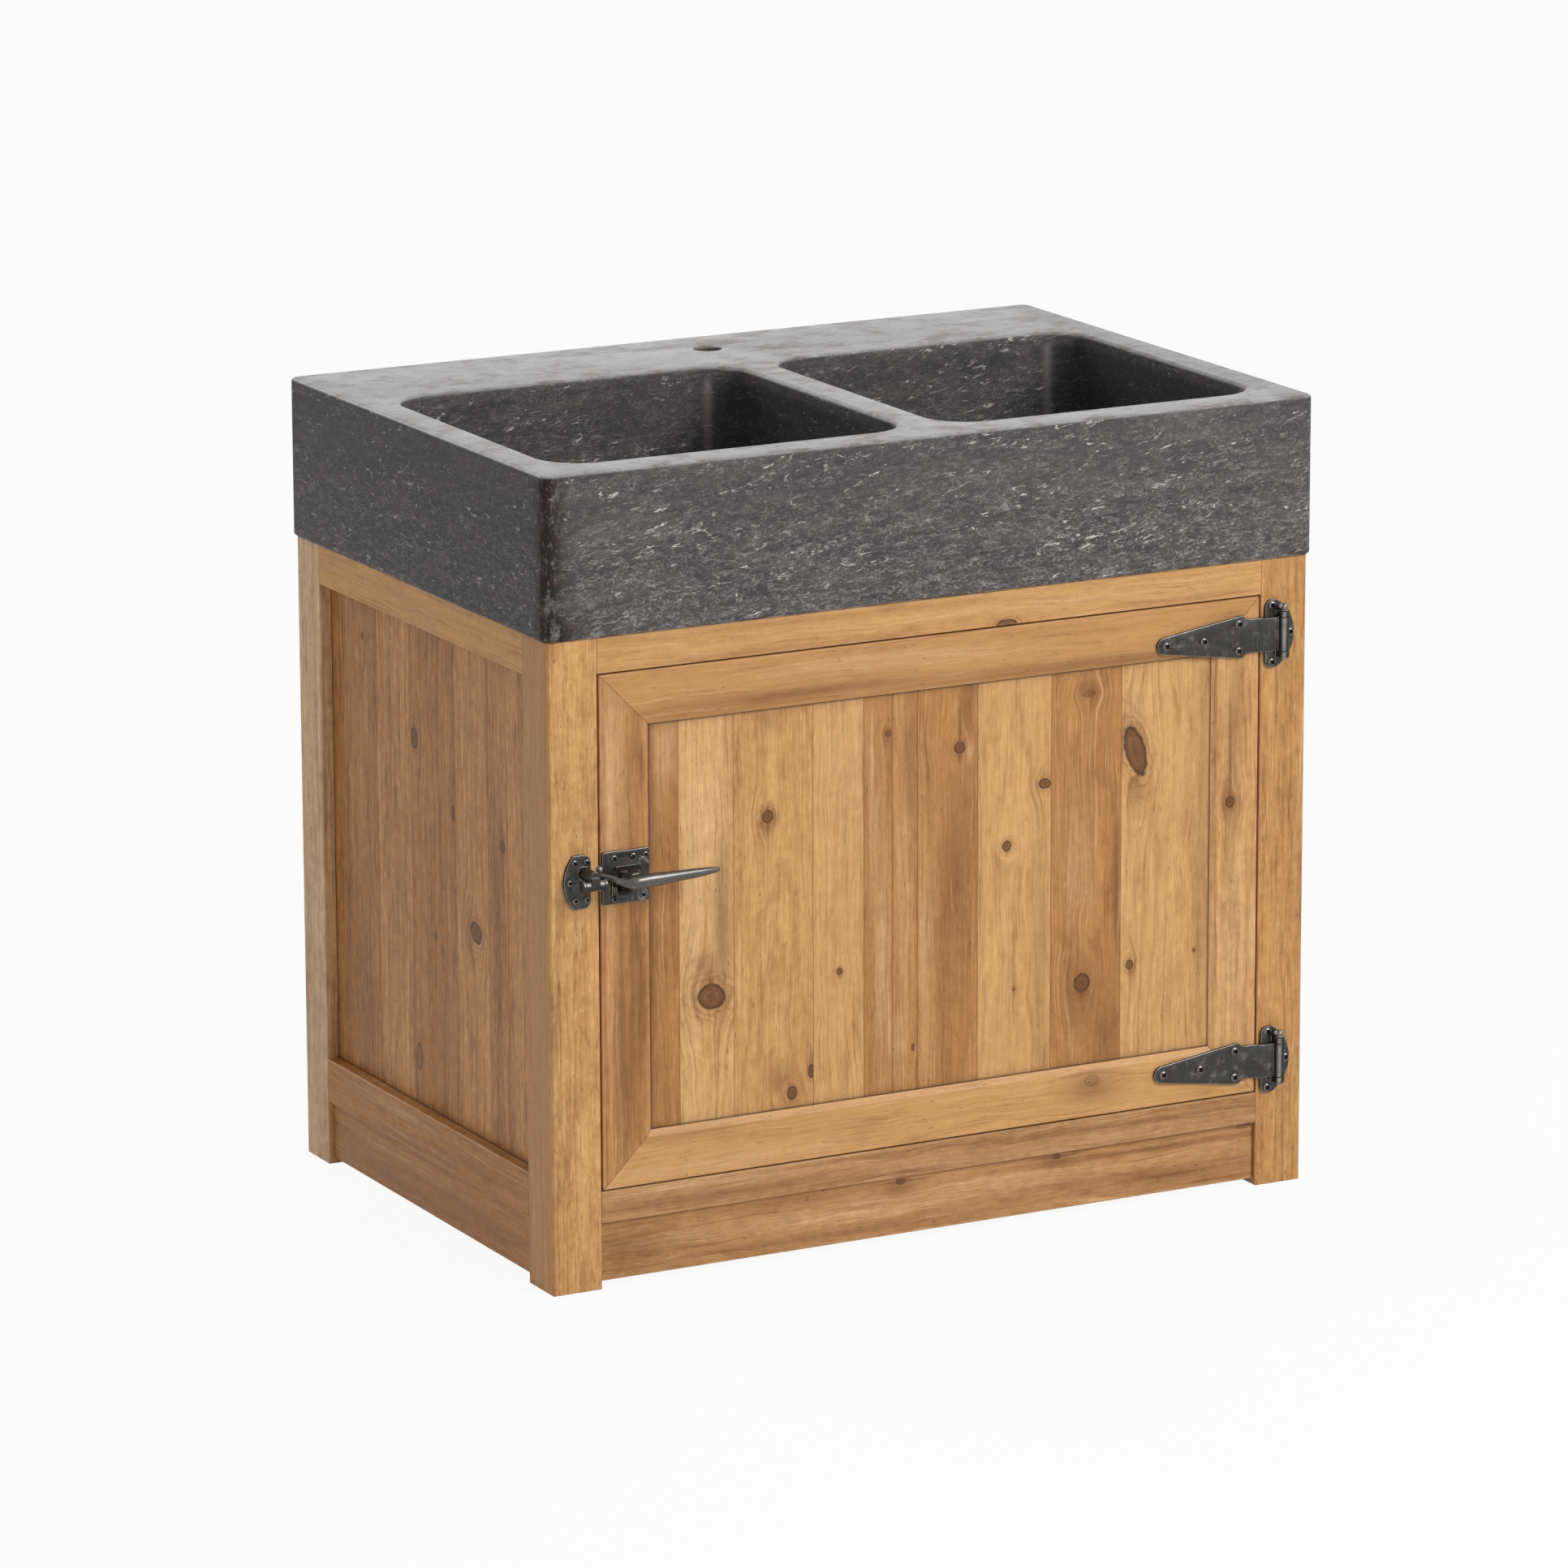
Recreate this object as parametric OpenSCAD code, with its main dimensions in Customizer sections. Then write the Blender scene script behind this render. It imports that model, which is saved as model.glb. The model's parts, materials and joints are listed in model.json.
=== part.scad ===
// Free-standing kitchen sink cabinet: a two-bowl stone sink on a pine frame,
// with one inset door on strap hinges and a lever latch.
// Millimetres. X runs left to right, Y front to back, Z up. The floor is z = 0.

/* [Stone sink] */
// Width of the stone block
stone_w = 1000; // [900:10:1300]
// Depth of the stone block, front to back
stone_d = 680; // [620:10:760]
// Height of the stone block
stone_h = 190; // [175:5:240]
// Radius of the block's four upright corners
stone_corner_r = 12; // [8:1:20]
// Width of the eased edge round the block's top and bottom
stone_arris = 3; // [1:0.5:5]
// Width of the rim beside each bowl
side_rim = 44; // [35:1:70]
// Width of the rim in front of the bowls
front_rim = 50; // [35:1:80]
// Width of the tap ledge behind the bowls
back_ledge = 180; // [120:5:200]
// Width of the wall between the bowls
partition_w = 47; // [35:1:80]
// How far the wall between the bowls stands right of the middle
partition_shift = 16; // [-40:1:40]
// Depth of the bowls
bowl_depth = 150; // [100:5:150]
// Radius of the bowls' upright corners
bowl_corner_r = 52; // [30:1:70]
// Radius between a bowl's walls and its floor
bowl_floor_r = 20; // [10:1:28]
// Width of the eased edge round each bowl's rim
rim_arris = 4; // [2:0.5:6]
// Diameter of the tap hole
tap_hole_d = 35; // [28:0.5:40]
// Distance of the tap hole's centre from the back edge
tap_inset = 78; // [60:1:90]
// Diameter of each waste hole
waste_hole_d = 90; // [45:1:92]
// Diameter of the shallow seat round each waste hole
waste_seat_d = 114; // [100:1:120]
// Depth of that seat
waste_seat_depth = 5; // [2:0.5:8]

/* [Cabinet frame] */
// Height of the wooden cabinet under the stone
cabinet_h = 760; // [650:10:820]
// How far the stone stands out past the cabinet, all round
overhang = 5; // [2:1:15]
// Width and depth of each corner post
post_w = 62; // [50:1:80]
// Eased edge on each post's outer corner
post_corner = 3; // [1:0.5:6]
// Eased edge on the other wooden members
wood_arris = 1; // [0.5:0.25:2]
// Height of the front rail over the door
front_top_h = 42; // [35:1:60]
// Height of the front rail under the door
front_low_h = 37; // [30:1:50]
// Height of the side and rear top rails
side_top_h = 48; // [40:1:70]
// Height of the side and rear low rails
side_low_h = 53; // [45:1:70]
// Thickness of the rails
rail_t = 34; // [32:1:48]
// Height of the rails' underside above the floor
rail_z = 78; // [60:1:110]
// Clearance of the plinth boards above the floor
plinth_gap = 8; // [4:1:20]
// Thickness of the plinth boards
plinth_t = 20; // [14:1:26]
// How far the plinth boards stand back from the frame's face
plinth_setback = 6; // [3:1:12]
// Length of the tenons on the rails
tenon_l = 28; // [15:1:32]
// Thickness of the tenons
tenon_t = 10; // [6:1:14]
// Shoulder above and below each tenon
tenon_shoulder = 8; // [5:1:12]
// Thickness of the side panels
side_panel_t = 14; // [10:1:16]
// How far the side panels stand back from the frame's face
side_panel_setback = 15; // [8:1:16]
// Depth of the grooves that hold the panels
groove_depth = 8; // [5:1:10]
// Clearance between a wooden piece and its groove or mortise
wood_clear = 0.25; // [0.1:0.05:0.5]

/* [Inside the cabinet] */
// Thickness of the floor boards
floor_t = 18; // [14:1:22]
// Step from the front low rail's top down to the floor
floor_step = 6; // [2:1:10]
// Number of floor boards
floor_board_count = 6; // [4:1:8]
// Gap between floor boards
floor_gap = 0.6; // [0.4:0.1:0.9]
// Width and height of the ledgers under the floor
ledger_w = 25; // [18:1:30]
// Width of the bearer under the stone
bearer_w = 60; // [45:1:80]
// Height of that bearer
bearer_h = 70; // [50:1:90]
// Width of the strip that the door closes against
stop_w = 16; // [10:1:24]
// Thickness of that strip
stop_t = 18; // [12:1:24]

/* [Door] */
// Thickness of the door frame
door_t = 24; // [20:1:30]
// Width of the mitred stiles and rails
door_frame_w = 63; // [50:1:75]
// Gap between the door and each post
door_side_gap = 2.5; // [1.5:0.5:4]
// Gap above and below the door
door_end_gap = 2; // [1.5:0.5:4]
// Thickness of the door panel
door_panel_t = 12; // [9:1:13]
// How far the panel stands back from the door frame's face
door_panel_setback = 4; // [3:0.5:6]
// Width of the slope along the frame's inner edge
door_bevel_w = 8; // [4:1:12]

/* [Strap hinges] */
// Distance from the door's top edge down to the upper hinge's middle
upper_hinge_inset = 45; // [40:1:120]
// Distance from the door's bottom edge up to the lower hinge's middle
lower_hinge_inset = 38; // [33:1:120]
// Thickness of the hinge plates and straps
iron_t = 4; // [3:0.5:5]
// Length of the strap from the pin to its tip
strap_l = 166; // [150:1:190]
// Height of the strap at its shoulder
strap_shoulder_h = 50; // [44:1:60]
// Height of the strap at its neck, and of the knuckle
strap_neck_h = 40; // [34:1:42]
// Radius of the strap's round tip
strap_tip_r = 10; // [8:0.5:12]
// Distance from the pin to the strap's shoulder
strap_shoulder_x = 55; // [50:1:62]
// Distance from the post's inner face to the hinge pin
pin_inset = 24.5; // [22:0.5:28]
// Diameter of the hinge pins
pin_d = 7; // [6:0.5:7.5]
// Outer diameter of the hinge knuckles
knuckle_d = 13; // [12:0.5:14.5]
// Radial clearance between the strap's knuckle and its pin
knuckle_clear = 0.08; // [0.04:0.01:0.1]
// Gap between moving iron pieces that pass each other
iron_gap = 1; // [0.5:0.25:1.5]
// Thickness of the lugs above and below the knuckle
lug_h = 7; // [5:0.5:9]
// Width of the hinge plate on the post
hinge_plate_w = 39; // [38:0.5:42]
// Height of that plate
hinge_plate_h = 81; // [78:1:90]
// Radius of the round side of the hinge and strike plates
plate_round_r = 46; // [42:1:60]
// Radius of the plates' square-side corners
plate_corner_r = 9; // [4:1:12]

// Distance from the pin to the hinge plate's straight side
hinge_plate_reach = 20.5; // [19.5:0.5:21.5]
// Radius of the hollow between the strap's shoulder and its neck
strap_hollow_r = 12; // [8:0.5:13]
// Length along the strap of its crank
crank_l = 7.5; // [6:0.5:9]
// Thickness of the buttons at the hinge pins' ends
pin_button_h = 2; // [1:0.5:3]

/* [Lever latch] */
// Distance from the door's top edge down to the latch's middle
latch_inset = 234; // [120:1:400]
// Width of the latch plate on the door
latch_plate_w = 59.5; // [57:0.5:62]
// Height of the latch plate
latch_plate_h = 61; // [58:1:70]
// Distance from the door's edge to the latch plate
latch_plate_inset = 0.5; // [0.5:0.5:3]
// Distance of the lever's pivot from the door's edge
pivot_inset = 14.5; // [14:0.5:18]
// Distance of the lever's pivot in front of the door's face
pivot_out = 30; // [29:0.5:34]
// Radius of the lever's pivot pin
pivot_r = 2.5; // [2:0.25:3]
// Distance from the pivot to the lever's tip
lever_l = 118; // [105:1:140]
// Radius of the lever's grip at its thickest
lever_r = 6.6; // [5:0.2:7]
// Distance from the pivot to the catch pin in the lever's nose
nose_l = 25; // [24:0.5:28]
// Radius of the catch pin
catch_r = 2.8; // [2.4:0.1:3]
// Width of the strike plate on the post
strike_w = 33.5; // [32:0.5:36]
// Height of the strike plate
strike_h = 62; // [58:1:70]
// Distance from the post's inner face to the strike plate
strike_inset = 11.5; // [9:0.5:13]
// Radius of the strike's cross bar
bar_r = 6; // [5:0.25:6.5]
// Distance of the cross bar in front of the post's face
bar_out = 29; // [28:0.5:32]
// Length of the cross bar
bar_l = 30; // [26:1:32]
// Length of the collar at each end of the cross bar
collar_l = 3; // [2:0.5:4]
// Radius of the boss that carries the cross bar
post_boss_r = 7.5; // [6:0.25:8]

/* [Screws] */
// Radius of the hinge screws' heads
screw_head_r = 5.2; // [4.6:0.1:5.4]
// Radius of the latch screws' heads
small_head_r = 3.8; // [3.4:0.1:4.1]
// Radius of the screw shanks
screw_shank_r = 2; // [1.5:0.1:2.5]
// Height of the screw heads' straight rim
screw_rim_h = 0.8; // [0.5:0.1:1.5]
// Height of the screw heads' dome
screw_dome_h = 2.2; // [1.8:0.1:3]
// Length of the screws in the wood
screw_l = 16; // [10:1:18]
// Radial clearance round a shank in its hole
screw_clear = 0.1; // [0.05:0.05:0.3]

/* [Hidden] */
$fn = 48;
pine = "#c18f57";
slate = "#45464a";
iron = "#4b4a48";

// Cabinet outline: half width, inner edge of the posts, depth
half_w = stone_w / 2 - overhang;
post_in = half_w - post_w;
cabinet_d = stone_d - 2 * overhang;
grip_out = 10.1;
lever_out = pivot_out + lever_r + grip_out;
// The origin is midway between the lever's outermost point and the stone's back
stone_front = (lever_out - overhang - stone_d) / 2;
stone_back = stone_front + stone_d;
front_y = stone_front + overhang;
back_y = front_y + cabinet_d;
mid_y = (front_y + back_y) / 2;
total_h = cabinet_h + stone_h;

// Bowls: inner edges of the rims, and each bowl's width and middle
bowl_out = stone_w / 2 - side_rim;
left_bowl = [-bowl_out, partition_shift - partition_w / 2];
right_bowl = [partition_shift + partition_w / 2, bowl_out];
bowl_y = [stone_front + front_rim, stone_back - back_ledge];
bowl_mid_y = (bowl_y[0] + bowl_y[1]) / 2;
bowl_z = total_h - bowl_depth;
tap_y = stone_back - tap_inset;

// Heights in the front frame
door_open_z0 = rail_z + front_low_h;
door_open_z1 = cabinet_h - front_top_h;
floor_z = door_open_z0 - floor_step;
side_panel_z0 = rail_z + side_low_h;
side_panel_z1 = cabinet_h - side_top_h;

// Door: outer edges
door_x = post_in - door_side_gap;
door_z0 = door_open_z0 + door_end_gap;
door_z1 = door_open_z1 - door_end_gap;
panel_x = door_x - door_frame_w;
panel_z0 = door_z0 + door_frame_w;
panel_z1 = door_z1 - door_frame_w;

// Hinges: the heights and the pin's place
upper_hinge_z = door_z1 - upper_hinge_inset;
lower_hinge_z = door_z0 + lower_hinge_inset;
pin_x = post_in + pin_inset;
pin_out = iron_t + iron_gap + knuckle_d / 2;
pin_y = front_y - pin_out;
hinge_plate_x = pin_x - hinge_plate_reach;
knuckle_half = strap_neck_h / 2;
lug_z = knuckle_half + iron_gap / 2;
strap_lift = iron_t + iron_gap;
crank_x = door_x - pin_x - 1.5;
crank_shift = 2;
plate_screw_z = hinge_plate_h / 2 - 6.5;
plate_screws = [[8.6, plate_screw_z], [8.6, -plate_screw_z], [hinge_plate_w - 6, 0]];
strap_screws_at = [
    [-strap_l + 11.5, 0], [-strap_l + 62, 0],
    [-strap_shoulder_x - 2, strap_shoulder_h / 2 - 9], [-strap_shoulder_x - 2, 9 - strap_shoulder_h / 2]
];

// Latch: height, plate, pivot, nose and strike
latch_z = door_z1 - latch_inset;
latch_plate_x = -door_x + latch_plate_inset;
pivot_x = -door_x + pivot_inset;
pivot_y = front_y - pivot_out;
knuckle_r = 6;
ear_z = lever_r + 1.2;
ear_h = 4.5;
collar_r = bar_r + 1;
catch_out = bar_out - collar_r - 0.6 - catch_r;
catch_x = pivot_x - nose_l;
nose_z = 9;
nose_r = 3.2;
catch_ball_r = 4.2;
strike_x = -post_in - strike_inset - strike_w;
bar_x = catch_x + catch_r - 0.3;
bar_mid_x = bar_x - bar_l / 2;
boss_z = 10;
latch_screws_at = [[14.5, 23], [38.5, 23], [54, 23], [14.5, -24.5], [50.5, -23]];
strike_screws_at = [[13, 23], [strike_w - 5, 22.5], [7, 0.5], [13.5, -21], [strike_w - 5, -21]];
spring_wire_r = 0.5;
spring_turns = 3;
spring_pitch = 1.5;
spring_r = pivot_r + 0.5 + spring_wire_r;
spring_gap = 0.3;
spring_z0 = spring_gap - ear_z;
spring_z1 = spring_z0 + spring_turns * spring_pitch + 2 * spring_wire_r;

// Flat shapes

// A rectangle with round corners, its low corner at the origin
module round_rect(w, h, r) {
    translate([r, 0]) square([w - 2 * r, h]);
    translate([0, r]) square([w, h - 2 * r]);
    for (x = [r, w - r], y = [r, h - r]) translate([x, y]) circle(r);
}

// The outline of a rectangle with cut corners: one cut for each corner,
// anticlockwise from the low left
function cut_rect(w, h, c) = [
    [c[0], 0], [w - c[1], 0], [w, c[1]], [w, h - c[2]],
    [w - c[2], h], [c[3], h], [0, h - c[3]], [0, c[0]]
];

// Points along an arc
function arc(x, y, r, a0, a1, n) = [
    for (i = [0:n]) [x + r * cos(a0 + (a1 - a0) * i / n), y + r * sin(a0 + (a1 - a0) * i / n)]
];

// A flat X-Z outline made solid in front of the frame's face,
// from distance d0 to d0 + t
module on_front(d0, t) {
    translate([0, front_y - d0, 0]) rotate([90, 0, 0]) linear_extrude(t) children();
}

// A wooden bar with all its edges eased: three long profiles crossed
module bar(size, c) {
    cuts = [c, c, c, c];
    intersection() {
        linear_extrude(size[2]) polygon(cut_rect(size[0], size[1], cuts));
        translate([0, size[1], 0]) rotate([90, 0, 0])
            linear_extrude(size[1]) polygon(cut_rect(size[0], size[2], cuts));
        rotate([90, 0, 90]) linear_extrude(size[0]) polygon(cut_rect(size[1], size[2], cuts));
    }
}

// Stone sink

// One bowl's hollow: round corners all the way down, and a round edge at its floor
module bowl_hollow(x) {
    ring_r = bowl_corner_r - bowl_floor_r;
    hull() for (cx = [x[0] + bowl_corner_r, x[1] - bowl_corner_r],
                cy = [bowl_y[0] + bowl_corner_r, bowl_y[1] - bowl_corner_r]) {
        translate([cx, cy, bowl_z + bowl_floor_r])
            rotate_extrude() translate([ring_r, 0]) circle(bowl_floor_r, $fn = 32);
        translate([cx, cy, bowl_z + bowl_floor_r])
            cylinder(r = bowl_corner_r, h = bowl_depth - bowl_floor_r + 1);
    }
}

// The flare that eases one bowl's rim
module bowl_rim(x) {
    hull() for (cx = [x[0] + bowl_corner_r, x[1] - bowl_corner_r],
                cy = [bowl_y[0] + bowl_corner_r, bowl_y[1] - bowl_corner_r])
        translate([cx, cy, total_h - rim_arris])
            cylinder(r1 = bowl_corner_r, r2 = bowl_corner_r + rim_arris + 1, h = rim_arris + 1);
}

module stone_block() {
    r = stone_corner_r;
    a = stone_arris;
    translate([0, 0, cabinet_h]) hull()
        for (x = [r - stone_w / 2, stone_w / 2 - r], y = [stone_front + r, stone_back - r])
            translate([x, y, 0]) {
                cylinder(r = r - a, h = stone_h);
                translate([0, 0, a]) cylinder(r = r, h = stone_h - 2 * a);
            }
}

module stone_sink() {
    color(slate) difference() {
        stone_block();
        for (x = [left_bowl, right_bowl]) {
            bowl_hollow(x);
            bowl_rim(x);
            translate([(x[0] + x[1]) / 2, bowl_mid_y, 0]) {
                translate([0, 0, cabinet_h - 1]) cylinder(d = waste_hole_d, h = stone_h);
                translate([0, 0, bowl_z - waste_seat_depth]) cylinder(d = waste_seat_d, h = bowl_depth);
            }
        }
        translate([partition_shift, tap_y, cabinet_h - 1]) cylinder(d = tap_hole_d, h = stone_h + 2);
    }
}

// Posts, rails, panels and plinths

// All the tenons, grown by a clearance: the rails carry them and the posts hold their mortises
module side_tenons(z, h, grow) {
    for (y = [front_y + post_w, back_y - post_w], x = [-1, 1])
        translate([x * (half_w - rail_t / 2), y, z + h / 2])
            cube([tenon_t + 2 * grow, 2 * (tenon_l + grow), h - 2 * (tenon_shoulder - grow)], center = true);
}

module end_tenons(y, z, h, grow) {
    for (x = [-1, 1])
        translate([x * post_in, y, z + h / 2])
            cube([2 * (tenon_l + grow), tenon_t + 2 * grow, h - 2 * (tenon_shoulder - grow)], center = true);
}

// The side panel's slab, grown by a clearance
module side_panel_slab(side, grow) {
    x = side * (half_w - side_panel_setback - side_panel_t / 2);
    y0 = front_y + post_w - groove_depth;
    y1 = back_y - post_w + groove_depth;
    z0 = side_panel_z0 - groove_depth;
    z1 = side_panel_z1 + groove_depth;
    translate([x, (y0 + y1) / 2, (z0 + z1) / 2])
        cube([side_panel_t + 2 * grow, y1 - y0 + 2 * grow, z1 - z0 + 2 * grow], center = true);
}

// One post: side is -1 or 1, and y0 is its front face
module post(side, y0) {
    c = side < 0 ? [post_corner, wood_arris, wood_arris, wood_arris]
                 : [wood_arris, post_corner, wood_arris, wood_arris];
    back = side < 0 ? [wood_arris, wood_arris, wood_arris, post_corner]
                    : [wood_arris, wood_arris, post_corner, wood_arris];
    x0 = side < 0 ? -half_w : post_in;
    color(pine) difference() {
        translate([x0, y0, 0]) intersection() {
            linear_extrude(cabinet_h) polygon(cut_rect(post_w, post_w, y0 == front_y ? c : back));
            bar([post_w, post_w, cabinet_h], wood_arris);
        }
        side_tenons(rail_z, side_low_h, wood_clear);
        side_tenons(side_panel_z1, side_top_h, wood_clear);
        end_tenons(front_y + rail_t / 2, rail_z, front_low_h, wood_clear);
        end_tenons(front_y + rail_t / 2, door_open_z1, front_top_h, wood_clear);
        end_tenons(back_y - rail_t / 2, rail_z, side_low_h, wood_clear);
        end_tenons(back_y - rail_t / 2, side_panel_z1, side_top_h, wood_clear);
        side_panel_slab(side, wood_clear);
        hinge_plate_shanks(screw_clear);
        strike_shanks(screw_clear);
    }
}

module post_front_left() { post(-1, front_y); }
module post_front_right() { post(1, front_y); }
module post_rear_left() { post(-1, back_y - post_w); }
module post_rear_right() { post(1, back_y - post_w); }

// A rail across the front or back
module cross_rail(y, z, h) {
    color(pine) {
        translate([-post_in, y, z]) bar([2 * post_in, rail_t, h], wood_arris);
        end_tenons(y + rail_t / 2, z, h, 0);
    }
}

module front_top_rail() { cross_rail(front_y, door_open_z1, front_top_h); }
module front_low_rail() { cross_rail(front_y, rail_z, front_low_h); }
module rear_top_rail() { cross_rail(back_y - rail_t, side_panel_z1, side_top_h); }
module rear_low_rail() { cross_rail(back_y - rail_t, rail_z, side_low_h); }

// A rail along one side, grooved for its panel
module side_rail(side, z, h) {
    x = side < 0 ? -half_w : half_w - rail_t;
    l = cabinet_d - 2 * post_w;
    color(pine) difference() {
        union() {
            translate([x, front_y + post_w, z]) bar([rail_t, l, h], wood_arris);
            intersection() {
                side_tenons(z, h, 0);
                translate([x, front_y, z]) cube([rail_t, cabinet_d, h]);
            }
        }
        side_panel_slab(side, wood_clear);
    }
}

module left_top_rail() { side_rail(-1, side_panel_z1, side_top_h); }
module left_low_rail() { side_rail(-1, rail_z, side_low_h); }
module right_top_rail() { side_rail(1, side_panel_z1, side_top_h); }
module right_low_rail() { side_rail(1, rail_z, side_low_h); }

module left_panel() { color(pine) side_panel_slab(-1, 0); }
module right_panel() { color(pine) side_panel_slab(1, 0); }

// A plinth board between two posts, close under its rail
module side_plinth(side) {
    x = side < 0 ? -half_w + plinth_setback : half_w - plinth_setback - plinth_t;
    color(pine) translate([x, front_y + post_w, plinth_gap])
        bar([plinth_t, cabinet_d - 2 * post_w, rail_z - plinth_gap], wood_arris);
}

module left_plinth() { side_plinth(-1); }
module right_plinth() { side_plinth(1); }

module front_plinth() {
    color(pine) translate([-post_in, front_y + plinth_setback, plinth_gap])
        bar([2 * post_in, plinth_t, rail_z - plinth_gap], wood_arris);
}

// Inside the cabinet

// The bearer between the front and rear top rails, under the wall between the bowls
module sink_bearer() {
    color(pine) translate([partition_shift - bearer_w / 2, front_y + rail_t, cabinet_h - bearer_h])
        bar([bearer_w, cabinet_d - 2 * rail_t, bearer_h], wood_arris);
}

// A ledger on one side's low rail, under the floor boards
module floor_ledger(side) {
    x = side < 0 ? rail_t - half_w : half_w - rail_t - ledger_w;
    color(pine) translate([x, front_y + post_w, floor_z - floor_t - ledger_w])
        bar([ledger_w, cabinet_d - 2 * post_w, ledger_w], wood_arris);
}

module floor_ledger_left() { floor_ledger(-1); }
module floor_ledger_right() { floor_ledger(1); }

// The floor boards, notched round the posts
module floor_boards() {
    x = half_w - rail_t - wood_clear;
    y0 = front_y + rail_t + wood_clear;
    pitch = (cabinet_d - 2 * rail_t - 2 * wood_clear + floor_gap) / floor_board_count;
    notch = post_w + wood_clear;
    color(pine) difference() {
        for (i = [0:floor_board_count - 1])
            translate([-x, y0 + i * pitch, floor_z - floor_t])
                bar([2 * x, pitch - floor_gap, floor_t], wood_arris);
        for (sx = [-half_w, half_w - notch], sy = [front_y, back_y - notch])
            translate([sx, sy, floor_z - floor_t - 1]) cube([notch, notch, floor_t + 2]);
    }
}

// The strip on the left post that the door closes against
module door_stop() {
    color(pine) translate([-post_in, front_y + door_t + iron_gap, door_open_z0])
        bar([stop_w, stop_t, door_open_z1 - door_open_z0], wood_arris);
}

// Door

// The door panel's slab, grown by a clearance
module door_panel_slab(grow) {
    x = panel_x + groove_depth;
    z0 = panel_z0 - groove_depth;
    z1 = panel_z1 + groove_depth;
    translate([-x - grow, front_y + door_panel_setback - grow, z0 - grow])
        cube([2 * (x + grow), door_panel_t + 2 * grow, z1 - z0 + 2 * grow]);
}

// One mitred member of the door frame, lying along X with its outer edge at z = 0:
// the profile slopes down to the panel along the inner edge
module door_member(l) {
    w = door_frame_w;
    c = wood_arris;
    profile = [
        [c, 0], [door_t - c, 0], [door_t, c], [door_t, w], [door_panel_setback, w],
        [0, w - door_bevel_w], [0, c]
    ];
    intersection() {
        translate([-l / 2, 0, 0]) rotate([90, 0, 90]) linear_extrude(l) polygon(profile);
        translate([0, door_t + 1, 0]) rotate([90, 0, 0]) linear_extrude(door_t + 2)
            polygon([[-l / 2, 0], [l / 2, 0], [l / 2 - w, w], [w - l / 2, w]]);
    }
}

// A door member in its place, grooved for the panel and drilled for the screws
module placed_member(x, z, turn, l) {
    color(pine) difference() {
        translate([x, front_y, z]) rotate([0, turn, 0]) door_member(l);
        door_panel_slab(wood_clear);
        strap_shanks(screw_clear);
        latch_shanks(screw_clear);
    }
}

door_h = door_z1 - door_z0;
door_mid_z = (door_z0 + door_z1) / 2;
module door_rail_bottom() { placed_member(0, door_z0, 0, 2 * door_x); }
module door_rail_top() { placed_member(0, door_z1, 180, 2 * door_x); }
module door_stile_left() { placed_member(-door_x, door_mid_z, 90, door_h); }
module door_stile_right() { placed_member(door_x, door_mid_z, -90, door_h); }

module door_panel() {
    color(pine) difference() {
        door_panel_slab(0);
        strap_shanks(screw_clear);
        latch_shanks(screw_clear);
    }
}

// Screws

// A screw driven back into the wood from distance d in front of the face:
// a domed head of radius r with a square recess, on a shank
module screw(d, r) {
    dome_h = screw_dome_h * r / screw_head_r;
    dome_r = (r * r + dome_h * dome_h) / (2 * dome_h);
    rim = d + screw_rim_h;
    difference() {
        union() {
            on_front(d, screw_rim_h) circle(r);
            intersection() {
                on_front(rim, dome_h) circle(r);
                translate([0, front_y - rim - dome_h + dome_r, 0]) sphere(dome_r);
            }
            on_front(-screw_l, screw_l + d) circle(screw_shank_r);
        }
        on_front(d + 0.6, dome_h + 2) square(r, center = true);
    }
}

// Shanks at a list of X-Z places, grown by a clearance
module shanks(at, grow) {
    for (p = at)
        translate([p[0], 0, p[1]]) on_front(-screw_l - grow, screw_l + grow + iron_t + 1)
            circle(screw_shank_r + grow);
}

function placed(list, x, z) = [for (p = list) [p[0] + x, p[1] + z]];
hinge_screw_places = concat(
    placed(plate_screws, hinge_plate_x, upper_hinge_z),
    placed(plate_screws, hinge_plate_x, lower_hinge_z)
);
strap_screw_places = concat(
    placed(strap_screws_at, pin_x, upper_hinge_z),
    placed(strap_screws_at, pin_x, lower_hinge_z)
);
latch_screw_places = placed(latch_screws_at, latch_plate_x, latch_z);
strike_screw_places = placed(strike_screws_at, strike_x, latch_z);

module hinge_plate_shanks(grow) { shanks(hinge_screw_places, grow); }
module strap_shanks(grow) { shanks(strap_screw_places, grow); }
module latch_shanks(grow) { shanks(latch_screw_places, grow); }
module strike_shanks(grow) { shanks(strike_screw_places, grow); }

module screws_at(places, r) {
    color(iron) for (p = places) translate([p[0], 0, p[1]]) screw(iron_t, r);
}

module hinge_plate_screws() { screws_at(hinge_screw_places, screw_head_r); }
module strap_screws() { screws_at(strap_screw_places, screw_head_r); }
module latch_screws() { screws_at(latch_screw_places, small_head_r); }
module strike_screws() { screws_at(strike_screw_places, small_head_r); }

// Hinges

// A plate with one straight side and one round side, its straight side at x = 0
module d_outline(w, h) {
    intersection() {
        translate([0, -h / 2]) round_rect(w + plate_round_r, h, plate_corner_r);
        translate([w - plate_round_r, 0]) circle(plate_round_r, $fn = 96);
    }
}

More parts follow.
